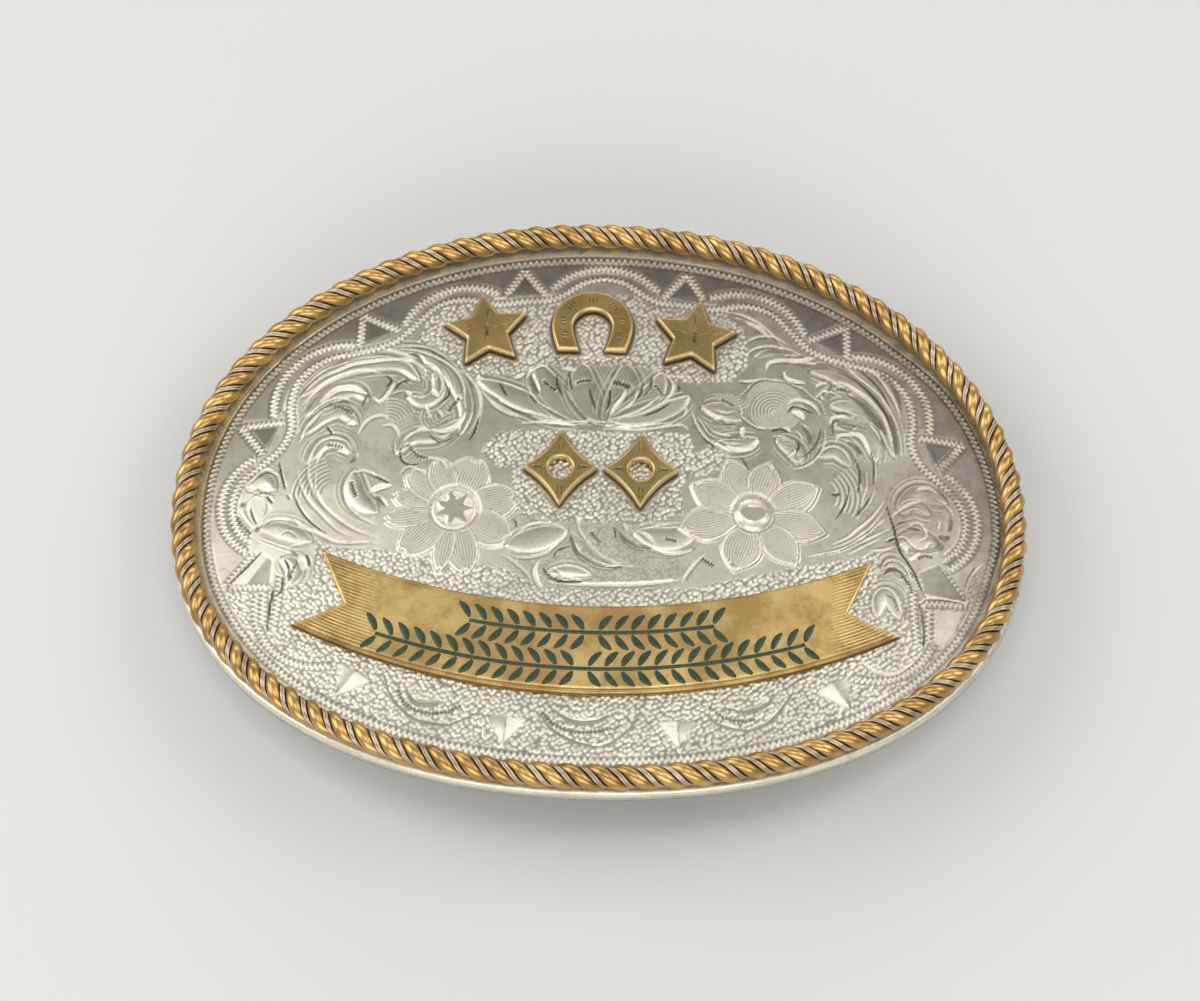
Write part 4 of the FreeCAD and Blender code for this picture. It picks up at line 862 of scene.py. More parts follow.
    def petal(self, flower, direction, length, width):
        """Petal from the flower's middle outwards: a low pillow with a raised rim, hollow to its
        middle, with fine lines that spread from its root. It is painted pale with a brighter rim as a
        highlight, and dark between its lines and round its edge as shade. Along it u goes from 0 to 1,
        across it v from -1 to 1, and its outline is a sine over a power of u."""
        a = math.radians(direction)
        gx, gy = self.x - flower["x"], self.y - flower["y"]
        u = (gx * math.cos(a) + gy * math.sin(a)) / length
        v = (gy * math.cos(a) - gx * math.sin(a)) / (width / 2)
        along = np.clip(u, 0.001, 0.999)
        blunt = 0.62 + 0.4 * flower["point"]
        profile = np.sin(math.pi * along ** 1.25) ** blunt * (0.86 + 0.22 * along)
        dent = flower["notch"] * np.clip(1 - 3.2 * np.abs(v), 0, 1)
        across = np.abs(v) / np.maximum(profile, 0.02)
        edge = np.minimum((1 - across) * profile * width / 2 * 1.2, (1 - u - dent) * length)
        body = step(0.0, 0.32, edge) * (u > 0.05)
        lines = wave(v / np.maximum(profile, 0.25) * width / PETAL_PITCH)
        hatched = step(0.25, 0.55, edge) * step(0.2, 0.3, u)
        bow = np.clip(1 - across ** 2, 0, 1) * step(0.0, 0.6, u)
        rim = step(0.7, 0.3, edge)
        rise = body * (0.15 + 0.12 * bow + 0.07 * rim + 0.05 * lines * hatched)
        self.lift(body > 0, raised=rise[body > 0])
        self.fill(body > 0.4, frost=0.72 + 0.28 * rim + 0.5 * (lines - 0.5) * hatched,
                  soot=0.36 * (1 - lines) * hatched)
        self.lift(soot=0.6 * step(0.0, 0.35, body) * step(1.0, 0.55, body), busy=body)
        self.ground *= 1 - step(0.0, 0.5, body)

    def flower_eye(self, flower):
        """The flower's round middle in a groove: a sunk star on a flat, or a dome with a lens on it.
        The groove is blackened and painted dark as shade.
        """
        gx, gy = self.x - flower["x"], self.y - flower["y"]
        radius = np.hypot(gx, gy) / flower["eye"]
        groove = step(1.25, 1.08, radius) * step(0.88, 1.0, radius)
        self.lift(cut=0.12 * groove, soot=0.45 * groove)
        if flower["star"]:
            ray = np.abs((np.arctan2(gy, gx) * EYE_RAYS / TAU) % 1 - 0.5) * 2
            point = radius - (0.42 + 0.46 * ray)
            facet = step(-0.02, 0.05, point)
            rise = 0.3 * step(1.0, 0.9, radius) - 0.14 * facet * step(0.95, 0.8, radius)
            ring = step(0.1, 0.03, np.abs(radius - 0.86))
            frost = 0.25 + 0.7 * facet
            soot = 0.45 * np.clip(step(0.06, 0.0, np.abs(point)) * (radius < 0.85) + 0.6 * ring, 0, 1)
        else:
            across, up = gx / (0.72 * flower["eye"]), (gy + 0.15) / (0.42 * flower["eye"])
            lens = across ** 2 + up ** 2 < 1
            rise = np.where(lens, 0.7, 0.12 + 0.78 * np.clip(1 - radius ** 2, 0, 1) ** 0.75)
            frost = np.where(lens, 0.25, 0.55)
            soot = 0.05
        self.fill(radius < 1, raised=np.maximum(rise, 0), frost=frost, soot=soot, ground=0, busy=1)


def engrave_border(work):
    """Wriggle line round the border, parallel to the plate's edge. Gives the distance in from the
    edge, and the same counted so that the line always lies at BORDER_INSET."""
    edge, run = inset_and_run(work.x, work.y)
    # The line lies nearer to the rope at the upper right
    inset = edge + BORDER_SHIFT * step(30, 40, work.x) * step(-7, -1, work.y) * step(24, 16, work.y)
    near = np.nonzero(np.abs(inset - BORDER_INSET) < 0.8)
    work.wriggle(near, inset[near] - BORDER_INSET, run[near] * BORDER_PITCH_SHARE)
    return edge, inset


def four_ways(points):
    """A quarter's points in all four quarters."""
    return [[(x * sx, y * sy) for x, y in points] for sx in (-1, 1) for sy in (-1, 1)]


def all_scallops():
    """The twelve scallops, each as three points."""
    found = [[(x, y * s) for x, y in SCALLOPS_ON_AXES[0]] for s in (-1, 1)]
    found += [[(x * s, y) for x, y in SCALLOPS_ON_AXES[1]] for s in (-1, 1)]
    for points in SCALLOPS_IN_QUARTERS:
        found += four_ways(points)
    return found


def engrave_scallops(work):
    """Each scallop: an outer wriggle line and inside it a smooth sunk band, which the inner wriggle
    line ends. The lowest scallops have strokes instead."""
    for first, middle, last in all_scallops():
        if middle[1] < LOWER_ROW_Y:
            continue
        work.wriggle_line(arc_points(first, middle, last))
        if middle[1] < PLAIN_SCALLOP_Y:
            continue
        band = arc_points(first, middle, last, -SCALLOP_INNER / 2)[2:-2]
        where, gap, _, _ = work.measure(band, 1.0)
        groove = step(0.42, 0.2, np.abs(gap))
        # the sunk band is painted darker as shade
        work.lift(where, cut=BAND_DEPTH * groove, soot=0.3 * groove)
    for side in (-1, 1):
        work.wriggle_line(smooth_line([(side * x, y) for x, y in INNER_LINE], 4))


def engrave_thorns(work):
    """Each thorn: wriggle lines up both its sides, and inside them a sunk facet that slopes, painted
    dark as shade on the thorns of the upper half and pale as a highlight on the lower ones."""
    for tip, left, right in (corners for points in THORNS for corners in four_ways(points)):
        if tip[1] < LOWER_ROW_Y:
            engrave_low_thorn(work, tip, left, right)
            continue
        for foot in np.array([left, right]):
            work.wriggle_line(foot + (tip - foot) * np.linspace(0, 1, 12)[:, None])
        middle = np.mean([left, right, tip], axis=0)
        corners = middle + THORN_FACET_SHARE * (np.array([tip, left, right]) - middle)
        hit = inside(work.x, work.y, corners)
        depth = np.clip(0.1 + 0.03 * (work.x - middle[0]) * np.sign(-middle[0]), 0.02, 0.3)
        upper = tip[1] > 0
        work.lift(hit, cut=depth[hit])
        work.fill(hit, soot=0.62 if upper else 0.12, frost=0.05 if upper else 0.3, busy=1)


def engrave_low_thorn(work, tip, left, right):
    """A thorn of the lower row: a bright facet and a narrow darker one that meet in a ridge,
    painted as a highlight and as shade, with a painted dark outline.
    """
    foot = ((left[0] + right[0]) / 2, (left[1] + right[1]) / 2)
    where, gap, _, share = work.measure(np.array([foot, tip], float), 3.0)
    half = np.maximum(LOW_THORN_HALF * (1 - share), 0.05)
    side = gap / half * (1 if tip[0] < foot[0] else -1)
    body = step(0.0, 0.2, half - np.abs(gap)) * ((share > 0.001) & (share < 0.999))
    work.frost[where] = np.where(body > 0.5, np.where(side > 0, 0.95, 0.3), work.frost[where])
    work.soot[where] = np.where(body > 0.5, np.where(side > 0, 0.0, 0.3), work.soot[where])
    work.lift(where, raised=body * 0.3 * np.clip(1 - np.abs(side), 0, 1), busy=body,
              soot=0.5 * step(0.0, 0.3, body) * step(1.0, 0.6, body))


def engrave_facets(work):
    """Smooth facets, each a flat that gets darker from its left to its right, painted as light and
    shade, and the wriggle cuts beside them."""
    for corners, pale, dark_left, dark_right in FACETS:
        hit = inside(work.x, work.y, corners)
        across = [x for x, _ in corners]
        share = step(min(across), max(across), work.x)
        work.fill(hit, cut=0.06 + 0.08 * share * dark_right, raised=0, frost=pale,
                  soot=dark_left + (dark_right - dark_left) * share, busy=1)
    for side in (-1, 1):
        for points in CORNER_LINES:
            work.wriggle_line(smooth_line([(side * x, y) for x, y in points], 8))


def engrave_ground(work, inset):
    """Punched ground in its outlines, beside the ribbon and in the border's lower half. The flats
    between the border line and the scallops stay smooth above that, and are painted dark as shade,
    darkest at the top."""
    ground = np.zeros(work.x.shape, bool)
    for outline in GROUNDS:
        ground |= inside(work.x, work.y, outline)
    taken = (np.abs(work.x / FRAME_HALF[0]) ** FRAME_POWER
             + np.abs(work.y / FRAME_HALF[1]) ** FRAME_POWER) < 1
    for scallop in all_scallops():
        centre, radius = circle_through(*scallop)
        taken |= np.hypot(work.x - centre[0], work.y - centre[1]) < radius
    within_border = inset > BORDER_INSET
    rim = within_border & ~taken
    flats_end = -2 - 9 * step(30, 36, np.abs(work.x))
    ground |= rim & (work.y < flats_end)
    low = (work.y < ribbon_top(work.x) + 1.3) & within_border
    ground |= low & ((np.abs(work.x) < 31) | (work.y < -10))
    work.ground[...] = ground
    flat = rim & (work.y > flats_end)
    # painted shade on the smooth flats, darkest at the top
    work.lift(soot=flat * (0.2 + 0.24 * step(-8, 2, work.y) + 0.1 * step(8, 26, work.y)))


def engrave_field(work, inset):
    """How pale the plain metal is, frosted and painted light together: paler towards the bottom and
    the left and darker to the right as painted light, and paler along the rope. Under the lozenges
    it is sanded."""
    x, y = work.x, work.y
    field = 0.06 + (0.46 * step(9, -5, y) + 0.14 * step(6, -20, x)) * (1 - 0.55 * step(16, 30, x))
    field = (field + 0.16 * (blotches(x, y, 1.2, 17) - 0.5)) * (1 - work.busy)
    work.lift(frost=field * (inset > BORDER_INSET + 0.6))
    work.lift(frost=0.75 * step(BORDER_INSET - 0.4, BORDER_INSET - 0.7, inset))
    sand = step(4, -3, y) * step(13, 7, np.abs(x)) * step(-12.5, -11, y)
    work.lift(soot=0.3 * sand * step(0.3, 0.05, punch_marks(x, y, SAND_PITCH, 5)))


def engrave_strokes(work):
    """All cuts of the graver, from the finest arcs to the crack: the bright ones painted with a
    highlight and a shadow beside them, the dark ones blackened and with painted shade.
    """
    for arcs in ARC_SETS:
        work.arcs(*arcs)
    for width, *points in LOW_STROKES:
        work.stroke(width, points, slope=0.35, frost=0.12, soot=0.12)
    for width, *points in DARK_STROKES:
        work.stroke(width, points, slope=0.5, soot=0.85 if width < BROAD_STROKE else 0.5)
    for width, *points in BRIGHT_STROKES:
        work.stroke(width, points, frost=0.95, shadow=0.5)
    for length, pitch, *points in TEETH:
        work.teeth(length, pitch, points)
    for points in (CRACK, CRACK_BRANCH):
        work.stroke(CRACK_WIDTH, points, slope=1.2, lean=0.0, soot=1.0)


def paint_shadow_round_figures(work):
    """Painted shadow: a dark line on the plate round every raised figure."""
    for ring in figure_outlines():
        where, gap, _, _ = work.measure(np.vstack([ring, ring[:1]]), 0.6)
        work.lift(where, soot=0.8 * step(0.42, 0.12, np.abs(gap)), busy=step(0.5, 0.2, np.abs(gap)))


def punch_ground(work):
    """Punch marks wherever the ground is still bare: raised, painted pale on top as a highlight and
    dark between them as shade.
    """
    marks = punch_marks(work.x, work.y, GROUND_PITCH, 3)
    bare = work.ground * (1 - work.busy)
    work.raised += bare * GROUND_HEIGHT * (marks - 0.3)
    work.lift(frost=bare * (0.45 + 0.5 * marks), soot=bare * 0.5 * np.clip(1 - 2.4 * marks, 0, 1))


def engrave(x, y):
    """The whole front of the plate, from the ground up to the strokes: the engraving, and its height
    over the plain bent surface, rounded off in a quarter circle at the plate's edge."""
    work = Engraving(x, y)
    edge, inset = engrave_border(work)
    engrave_ground(work, inset)
    engrave_field(work, inset)
    for width, pale, *points in LEAVES:
        work.leaf(width, pale, points)
    for (mx, my), radius, pale in DISCS:
        work.fill(np.hypot(x - mx, y - my) < radius, frost=pale)
    for flower in (LEFT_FLOWER, RIGHT_FLOWER):
        for petal in flower["petals"]:
            work.petal(flower, *petal)
    engrave_scallops(work)
    engrave_thorns(work)
    engrave_facets(work)
    engrave_strokes(work)
    paint_shadow_round_figures(work)
    for flower in (LEFT_FLOWER, RIGHT_FLOWER):
        work.flower_eye(flower)
    for (mx, my), radius, dark in STAINS:
        spot = step(radius, radius * 0.3, np.hypot(x - mx, y - my)) * (0.6 + 0.6 * blotches(x, y, 0.7, 18))
        work.lift(soot=dark * np.clip(spot, 0, 1))
    punch_ground(work)
    swell = 0.05 * (blotches(x, y, 5.0, 1) - 0.5) + 0.02 * (blotches(x, y, 1.9, 2) - 0.5)
    height = np.where(edge < RIM_PLAIN, 0, work.raised - work.cut + swell * (1 - work.busy))
    lip = np.clip(LIP_RADIUS - edge, 0, LIP_RADIUS)
    return work, height - LIP_RADIUS + np.sqrt(LIP_RADIUS ** 2 - lip ** 2)


def tarnish_at(x, y):
    """Where the plate is tarnished: brown-violet in the upper right, blotches at the right end, a
    few stains elsewhere."""
    upper_right = step(2, 34, x * 0.75 + y * 0.9) * (0.35 + 0.65 * blotches(x, y, 6.0, 11))
    right_end = step(28, 40, x) * (0.25 + 0.75 * blotches(x, y, 2.6, 12))
    top = step(14, 28, y) * (0.2 + 0.5 * blotches(x, y, 8.0, 13))
    patch = step(0.5, 0.85, blotches(x, y, 4.0, 14)) * 0.3
    fine = 0.3 * step(0.45, 0.9, blotches(x, y, 1.3, 15))
    return np.clip(0.7 * upper_right + 0.6 * right_end + top + patch + fine, 0, 1)


def new_mesh(name, points, faces):
    """Smooth mesh object from points in millimetres and arrays of faces, each with an equal number of
    corners in all its rows."""
    mesh = bpy.data.meshes.new(name)
    mesh.vertices.add(len(points))
    mesh.vertices.foreach_set("co", (points * MM).ravel())
    corners = np.concatenate([group.ravel() for group in faces])
    sizes = np.concatenate([np.full(len(group), group.shape[1]) for group in faces])
    mesh.loops.add(len(corners))
    mesh.loops.foreach_set("vertex_index", corners)
    mesh.polygons.add(len(sizes))
    mesh.polygons.foreach_set("loop_start", np.concatenate([[0], np.cumsum(sizes)[:-1]]))
    mesh.polygons.foreach_set("use_smooth", np.ones(len(sizes), bool))
    mesh.update(calc_edges=True)
    mesh.validate()
    piece = bpy.data.objects.new(name, mesh)
    bpy.context.scene.collection.objects.link(piece)
    return piece


def add_attribute(piece, name, values):
    """One number at each vertex for the piece's material: the given values come first, and the rest
    of the vertices get 0."""
    padded = np.zeros(len(piece.data.vertices), np.float32)
    padded[:values.size] = values.ravel()
    layer = piece.data.attributes.new(name, "FLOAT", "POINT")
    layer.data.foreach_set("value", padded)


def grid_faces(columns, rows, offset=0, wrap=False, tube=False, flip=False):
    """Four-cornered faces of a grid stored column by column. With wrap its last column joins its
    first one, with tube its last row does."""
    i = np.arange(columns if wrap else columns - 1)[:, None]
    j = np.arange(rows if tube else rows - 1)[None, :]
    i_next, j_next = (i + 1) % columns, (j + 1) % rows
    quads = np.stack([i * rows + j, i_next * rows + j, i_next * rows + j_next, i * rows + j_next], -1)
    quads = quads.reshape(-1, 4) + offset
    return quads[:, [0, 3, 2, 1]] if flip else quads


def bridge(first, second, wrap=False):
    """Four-cornered faces between two lines of points, which are given by their numbers."""
    quads = np.stack([first, second, np.roll(second, -1), np.roll(first, -1)], -1)
    return quads if wrap else quads[:-1]


def sharpen(piece, marked):
    """Makes the edges between marked vertices sharp."""
    edges = piece.data.edges
    ends = np.zeros(len(edges) * 2, np.int32)
    edges.foreach_get("vertices", ends)
    attributes = piece.data.attributes
    layer = attributes.get("sharp_edge") or attributes.new("sharp_edge", "BOOLEAN", "EDGE")
    layer.data.foreach_set("value", marked[ends].reshape(-1, 2).all(1))


def strip_columns(start, end, count):
    """Places of a strip's columns, closer together where the outline is steep: even steps of a run
    that adds a share of the outline's rise to the way along X."""
    x = np.linspace(start, end, 3000)
    run = np.concatenate([[0], np.cumsum(np.hypot(np.diff(x), 0.22 * np.diff(half_height_at(x))))])
    return np.interp(np.linspace(0, run[-1], count + 1), run, x)


def plate_belt(x, edge, top_z):
    """A strip's sides and back: in each column the points go down the near side from the front's
    edge, across the flat back and up the far side."""
    low_z = front_z(x) - PLATE_THICKNESS
    level = np.linspace(0, 1, SIDE_LEVELS)[1:]
    side_y = np.repeat(edge[:, None], len(level), 1)
    side_z = top_z[:, None] + (low_z - top_z)[:, None] * level
    back_y = edge[:, None] * np.linspace(-1, 1, BACK_ROWS)[1:-1]
    back_z = np.repeat(low_z[:, None], BACK_ROWS - 2, 1)
    y = np.concatenate([-side_y, back_y, side_y], 1)
    z = np.concatenate([side_z, back_z, side_z[:, ::-1]], 1)
    return np.stack([np.repeat(x[:, None], y.shape[1], 1), y, z], -1)


def plate_strip(name, start, end, count):
    """One closed strip of the plate. Columns stand at fixed x, and rows run from edge to edge. The
    engraved height is added to the bent front, a belt makes sides and back, and each end is one face."""
    x = strip_columns(start, end, count)
    edge = half_height_at(x)
    px = np.repeat(x[:, None], FRONT_ROWS, 1)
    py = edge[:, None] * np.linspace(-1, 1, FRONT_ROWS)
    work, height = engrave(px, py)
    front = np.stack([px, py, front_z(px) + height], -1)
    belt = plate_belt(x, edge, front[:, 0, 2])
    columns, belt_rows, base = len(x), belt.shape[1], px.size
    front_ids = np.arange(base).reshape(columns, FRONT_ROWS)
    belt_ids = base + np.arange(columns * belt_rows).reshape(columns, belt_rows)
    faces = [grid_faces(columns, FRONT_ROWS), grid_faces(columns, belt_rows, base, flip=True),
             bridge(front_ids[:, 0], belt_ids[:, 0]), bridge(belt_ids[:, -1], front_ids[:, -1])]
    marked = np.zeros(base + belt_ids.size, bool)
    for column, turn in ((0, 1), (-1, -1)):
        ring = np.concatenate([front_ids[column], belt_ids[column][::-1]])
        faces.append(ring[None, ::turn])
        marked[ring] = True
    piece = new_mesh(name, np.concatenate([front.reshape(-1, 3), belt.reshape(-1, 3)]), faces)
    for attribute, values in (("frost", work.frost), ("soot", work.soot), ("tarnish", tarnish_at(px, py))):
        add_attribute(piece, attribute, values)
    sharpen(piece, marked)
    return piece


def closed_sheet(name, x, y, top, wrap=False, hole=False):
    """Closed piece over a grid of plan points: its top, its base just above the plate, and the side
    walls. A wrapped grid closes round a middle, which is a hole or is filled."""
    columns, rows = x.shape
    upper = np.stack([x, y, top], -1).reshape(-1, 3)
    lower = np.stack([x, y, front_z(x) + GAP], -1).reshape(-1, 3)
    ids = np.arange(x.size).reshape(columns, rows)
    under = ids + x.size
    faces = [grid_faces(columns, rows, 0, wrap), grid_faces(columns, rows, x.size, wrap, flip=True),
             bridge(under[:, -1], ids[:, -1], wrap)]
    if wrap and not hole:
        faces += [ids[None, ::-1, 0], under[None, :, 0]]
    else:
        faces.append(bridge(ids[:, 0], under[:, 0], wrap))
    if not wrap:
        faces += [bridge(under[0], ids[0]), bridge(ids[-1], under[-1])]
    return new_mesh(name, np.concatenate([upper, lower]), faces)


def edge_profile(distance, bevel, height):
    """Height of a raised piece over its distance from the edge: upright, then rounded over."""
    t = np.clip(distance / bevel, 0, 1)
    return height - bevel * 0.9 * (1 - np.sqrt(np.clip(1 - (1 - t) ** 2, 0, 1)))


def soften(ring, times):
    """Rounds a closed outline a little by averaging neighbours."""
    for _ in range(times):
        ring = 0.5 * ring + 0.25 * (np.roll(ring, 1, 0) + np.roll(ring, -1, 0))
    return ring


def star_ring(radius, turn):
    """Outline of a five-pointed star about its middle: ten straight sides, each in even steps."""
    angle = np.radians(90 + 36 * np.arange(11)) + turn
    reach = radius * np.where(np.arange(11) % 2 == 0, 1, STAR_INNER_SHARE)
    corners = np.column_stack([reach * np.cos(angle), reach * np.sin(angle)])
    share = np.linspace(0, 1, 24, endpoint=False)[:, None]
    sides = [first + (last - first) * share for first, last in zip(corners, corners[1:])]
    return soften(np.vstack(sides), 3)


def star_piece(name, x, y, radius, turn):
    """Five-pointed star: rings between its middle and its outline, rounded over at the edge. The
    distance from the edge is a share of the way from the middle to the lines of its sides."""
    ring = star_ring(radius, turn)
    away = [0, .012, .03, .055, .085, .12, .16, .22, .3, .4, .55, .7, .85, .985]
    share = 1 - np.array(away)[None, ::-1]
    px = x + ring[:, :1] * share
    py = y + ring[:, 1:] * share
    inner, corner = radius * STAR_INNER_SHARE, math.radians(36)
    side = math.hypot(radius - inner * math.cos(corner), inner * math.sin(corner))
    to_side = radius * inner * math.sin(corner) / side
    distance = (1 - share) * to_side * np.ones(px.shape)
    return figure_piece(name, px, py, distance, (x, y), STAR_TALLIES, wrap=True)


def lozenge_ring():
    """Outline of an upright lozenge with hollow sides about its middle."""
    wide, high = LOZENGE_HALF
    tips = [(wide, 0), (0, high), (-wide, 0), (0, -high)]
    ring = []
    for first, last in zip(tips, tips[1:] + tips[:1]):
        mx, my = (first[0] + last[0]) / 2, (first[1] + last[1]) / 2
        pinch = 1 - LOZENGE_PINCH / math.hypot(mx, my)
        ring.append(arc_points(first, (mx * pinch, my * pinch), last, count=49)[:-1])
    return soften(np.vstack(ring), 4)


def lozenge_piece(name, x, y):
    """Upright lozenge: rings between its round hole and its outline."""
    outer = lozenge_ring()
    hole = LOZENGE_HOLE * unit(outer)
    inner_steps = np.array([0, .02, .05, .09, .14, .2, .3, .42])
    outer_steps = np.array([0, .02, .04, .07, .11, .16, .22, .3, .42])
    share = np.concatenate([inner_steps, 1 - outer_steps[::-1]])
    px = x + hole[:, :1] * (1 - share) + outer[:, :1] * share
    py = y + hole[:, 1:] * (1 - share) + outer[:, 1:] * share
    wide = np.hypot(*(outer - hole).T)[:, None]
    distance = np.minimum(share * wide, (1 - share) * wide * 0.85)
    return figure_piece(name, px, py, distance, (x, y), LOZENGE_TALLIES, wrap=True, hole=True)


def horseshoe_grid():
    """Plan of the horseshoe: a band across a round arch and two legs that close in, and the
    distance of each point from the edge."""
    h = HORSESHOE
    along = np.linspace(-1, 1, 161)
    arch = 0.7
    angle = math.pi / 2 - np.clip(along / arch, -1, 1) * math.pi / 2
    down = np.clip((np.abs(along) - arch) / (1 - arch), 0, 1)
    share = 0.5 - 0.5 * np.cos(np.linspace(0, math.pi, 25))
    radius = h["outer"] - h["wall"] * (1 - share)
    px = h["x"] + radius * np.cos(angle)[:, None] - (np.sign(along) * h["spread"] * down ** 1.5)[:, None]
    py = h["y"] + radius * np.sin(angle)[:, None] - (h["leg"] * down)[:, None]
    across = np.minimum(share, 1 - share) * h["wall"]
    ends = (1 - np.abs(along))[:, None] * h["leg"] / (1 - arch)
    return px, py, np.minimum(across, ends)


def horseshoe_piece(name):
    """The raised horseshoe."""
    px, py, distance = horseshoe_grid()
    return figure_piece(name, px, py, distance, (HORSESHOE["x"], HORSESHOE["y"]), HORSESHOE_TALLIES)


def figure_outlines():
    """Plan outlines of all raised figures."""
    rings = [star_ring(radius, turn) + (x, y) for x, y, radius, turn in STARS.values()]
    rings += [lozenge_ring() + (x, y) for x, y in LOZENGES.values()]
    px, py, _ = horseshoe_grid()
    plan = np.stack([px, py], -1)
    rings.append(np.concatenate([plan[:, -1], plan[::-1, 0]]))
    return [ring[::3] for ring in rings]


def figure_piece(name, px, py, distance, middle, tallies, wrap=False, hole=False):
    """A raised figure over its plan grid: rounded over at the edge, a little uneven, and with groups
    of three small cuts on top."""
    work = Engraving(px, py)
    for gx, gy, turn in tallies:
        along = np.array([math.cos(math.radians(turn)), math.sin(math.radians(turn))])
        across = np.array([-along[1], along[0]])
        for k in (-TALLY_GAP, 0, TALLY_GAP):
            place = np.array([middle[0] + gx, middle[1] + gy]) + k * across
            cut = [place - TALLY_HALF * along, place, place + TALLY_HALF * along]
            work.stroke(TALLY_WIDTH, cut, slope=0.9, soot=0.8)
    top = front_z(px) + edge_profile(distance, FIGURE_BEVEL, FIGURE_HEIGHT) - work.cut
    top += 0.05 * (blotches(px, py, 0.9, 21) - 0.5) * step(0.1, 0.5, distance)
    piece = closed_sheet(name + "_relief", px, py, top, wrap, hole)
    add_attribute(piece, "soot", work.soot)
    add_attribute(piece, "wear", step(0.3, 0.05, distance))
    return piece


def ribbon_top(x):
    """The ribbon's upper edge: an arc that hangs in the middle."""
    return RIBBON_TOP_Y + RIBBON_ARC_RADIUS - np.sqrt(RIBBON_ARC_RADIUS ** 2 - (x - RIBBON_MIDDLE_X) ** 2)


def ribbon_end(share):
    """Half length of the ribbon at a share of its height, 0 at the bottom: a swallowtail."""
    t = RIBBON_TAILS
    above = t["notch"] + (t["top"] - t["notch"]) * (share - t["notch_share"]) / (1 - t["notch_share"])
    below = t["notch"] + (t["bottom"] - t["notch"]) * (t["notch_share"] - share) / t["notch_share"]
    return np.where(share > t["notch_share"], above, below)


def ribbon_piece():
    """The banner: rows between its two arcs, columns from tail to tail, rounded at the edges, with
    fine grooves along both tails and a line along each edge."""
    edges = np.array([0, .06, .14, .25, .38, .5, .62, .74]) / RIBBON_WIDTH
    body = np.linspace(0.09, 0.91, 80)
    share = np.unique(np.concatenate([edges, body, [RIBBON_TAILS["notch_share"]], 1 - edges]))[None, :]
    near_end = np.array([0, .05, .12, .22, .36])
    run = np.concatenate([near_end, np.linspace(0.6, 59.4, 210), 60 - near_end[::-1]])[:, None] / 30 - 1
    px = run * ribbon_end(share)
    share = np.broadcast_to(share, px.shape)
    py = ribbon_top(px) - (1 - share) * RIBBON_WIDTH
    from_edge = np.minimum(share, 1 - share) * RIBBON_WIDTH
    from_end = (1 - np.abs(run)) * ribbon_end(share) * 0.85
    tails = (step(-22.5, -27.5, px) + step(24.5, 28.5, px)) * step(0.1, 0.8, from_end)
    grooves = wave(share * TAIL_GROOVES)
    line = step(0.16, 0.06, np.abs(share * RIBBON_WIDTH - LOWER_LINE))
    line += 0.6 * step(0.12, 0.04, np.abs((1 - share) * RIBBON_WIDTH - UPPER_LINE)) * step(-16, -20, px)
    height = edge_profile(np.minimum(from_edge, from_end), RIBBON_BEVEL, RIBBON_HEIGHT)
    height += 0.05 * (blotches(px, py, 2.4, 31) - 0.5)
    height -= TAIL_GROOVE_DEPTH * tails * grooves + LINE_DEPTH * line
    piece = closed_sheet("ribbon_banner", px, py, front_z(px) + height)
    soot = np.maximum(0.75 * line, 0.7 * tails * step(0.8, 0.2, grooves))
    # painted shade along the ribbon's edges, and dark in its grooves and lines
    add_attribute(piece, "soot", np.maximum(soot, 0.9 * step(0.24, 0.1, from_edge)))
    reddish = 0.7 * step(0.55, 0.8, blotches(px, py, 3.4, 33)) * step(16, 6, np.abs(px + 2))
    add_attribute(piece, "wear", reddish)
    return piece


def strand(name, distance, radius, phases, steps, sides):
    """Strands of the rope: tubes whose middle goes round the rope's middle once in each twist. The
    rope's middle follows the oval, and each ring of points stands square to its strand."""
    count = ROPE_TWISTS * steps
    x, y, _, _, _ = oval_ring(count, ROPE_RADIUS)
    middle = np.column_stack([x, y, front_z(x) + GAP + ROPE_RADIUS])
    tangent = unit(np.roll(middle, -1, 0) - np.roll(middle, 1, 0))
    outward = unit(np.cross(tangent, [0, 0, 1]))
    upward = np.cross(outward, tangent)
    around = np.linspace(0, TAU, sides, endpoint=False)
    points, faces = [], []
    for number, phase in enumerate(phases):
        turn = (phase - TAU * np.arange(count) / steps)[:, None]
        away = outward * np.cos(turn) + upward * np.sin(turn)
        centre = middle + distance * away
        run = unit(np.roll(centre, -1, 0) - np.roll(centre, 1, 0))
        first = unit(away - run * (away * run).sum(1)[:, None])
        second = np.cross(run, first)
        ring = first[:, None] * np.cos(around)[:, None] + second[:, None] * np.sin(around)[:, None]
        points.append((centre[:, None] + radius * ring).reshape(-1, 3))
        faces.append(grid_faces(count, sides, number * count * sides, wrap=True, tube=True, flip=True))
    piece = new_mesh(name, np.vstack(points), faces)
    # painted shade: each strand darker on its flanks, towards the hollows between the strands
    add_attribute(piece, "soot", np.tile(step(0.62, 0.05, np.cos(around)), count * len(phases)))
    return piece


def enamel_stroke(path, widths, sides=8):
    """Flattened tube along a path on the ribbon: half an oval above the surface, deeper below it."""
    tangent = unit(np.gradient(path, axis=0))
    normal = np.column_stack([-tangent[:, 1], tangent[:, 0]])
    angle = np.linspace(0, TAU, sides, endpoint=False)
    across = np.cos(angle) * widths[:, None] / 2
    px = path[:, :1] + normal[:, :1] * across
    py = path[:, 1:] + normal[:, 1:] * across
    up = np.where(np.sin(angle) > 0, ENAMEL_RISE, ENAMEL_DEPTH) * np.sin(angle)
    return np.stack([px, py, front_z(px) + RIBBON_HEIGHT + up], -1)


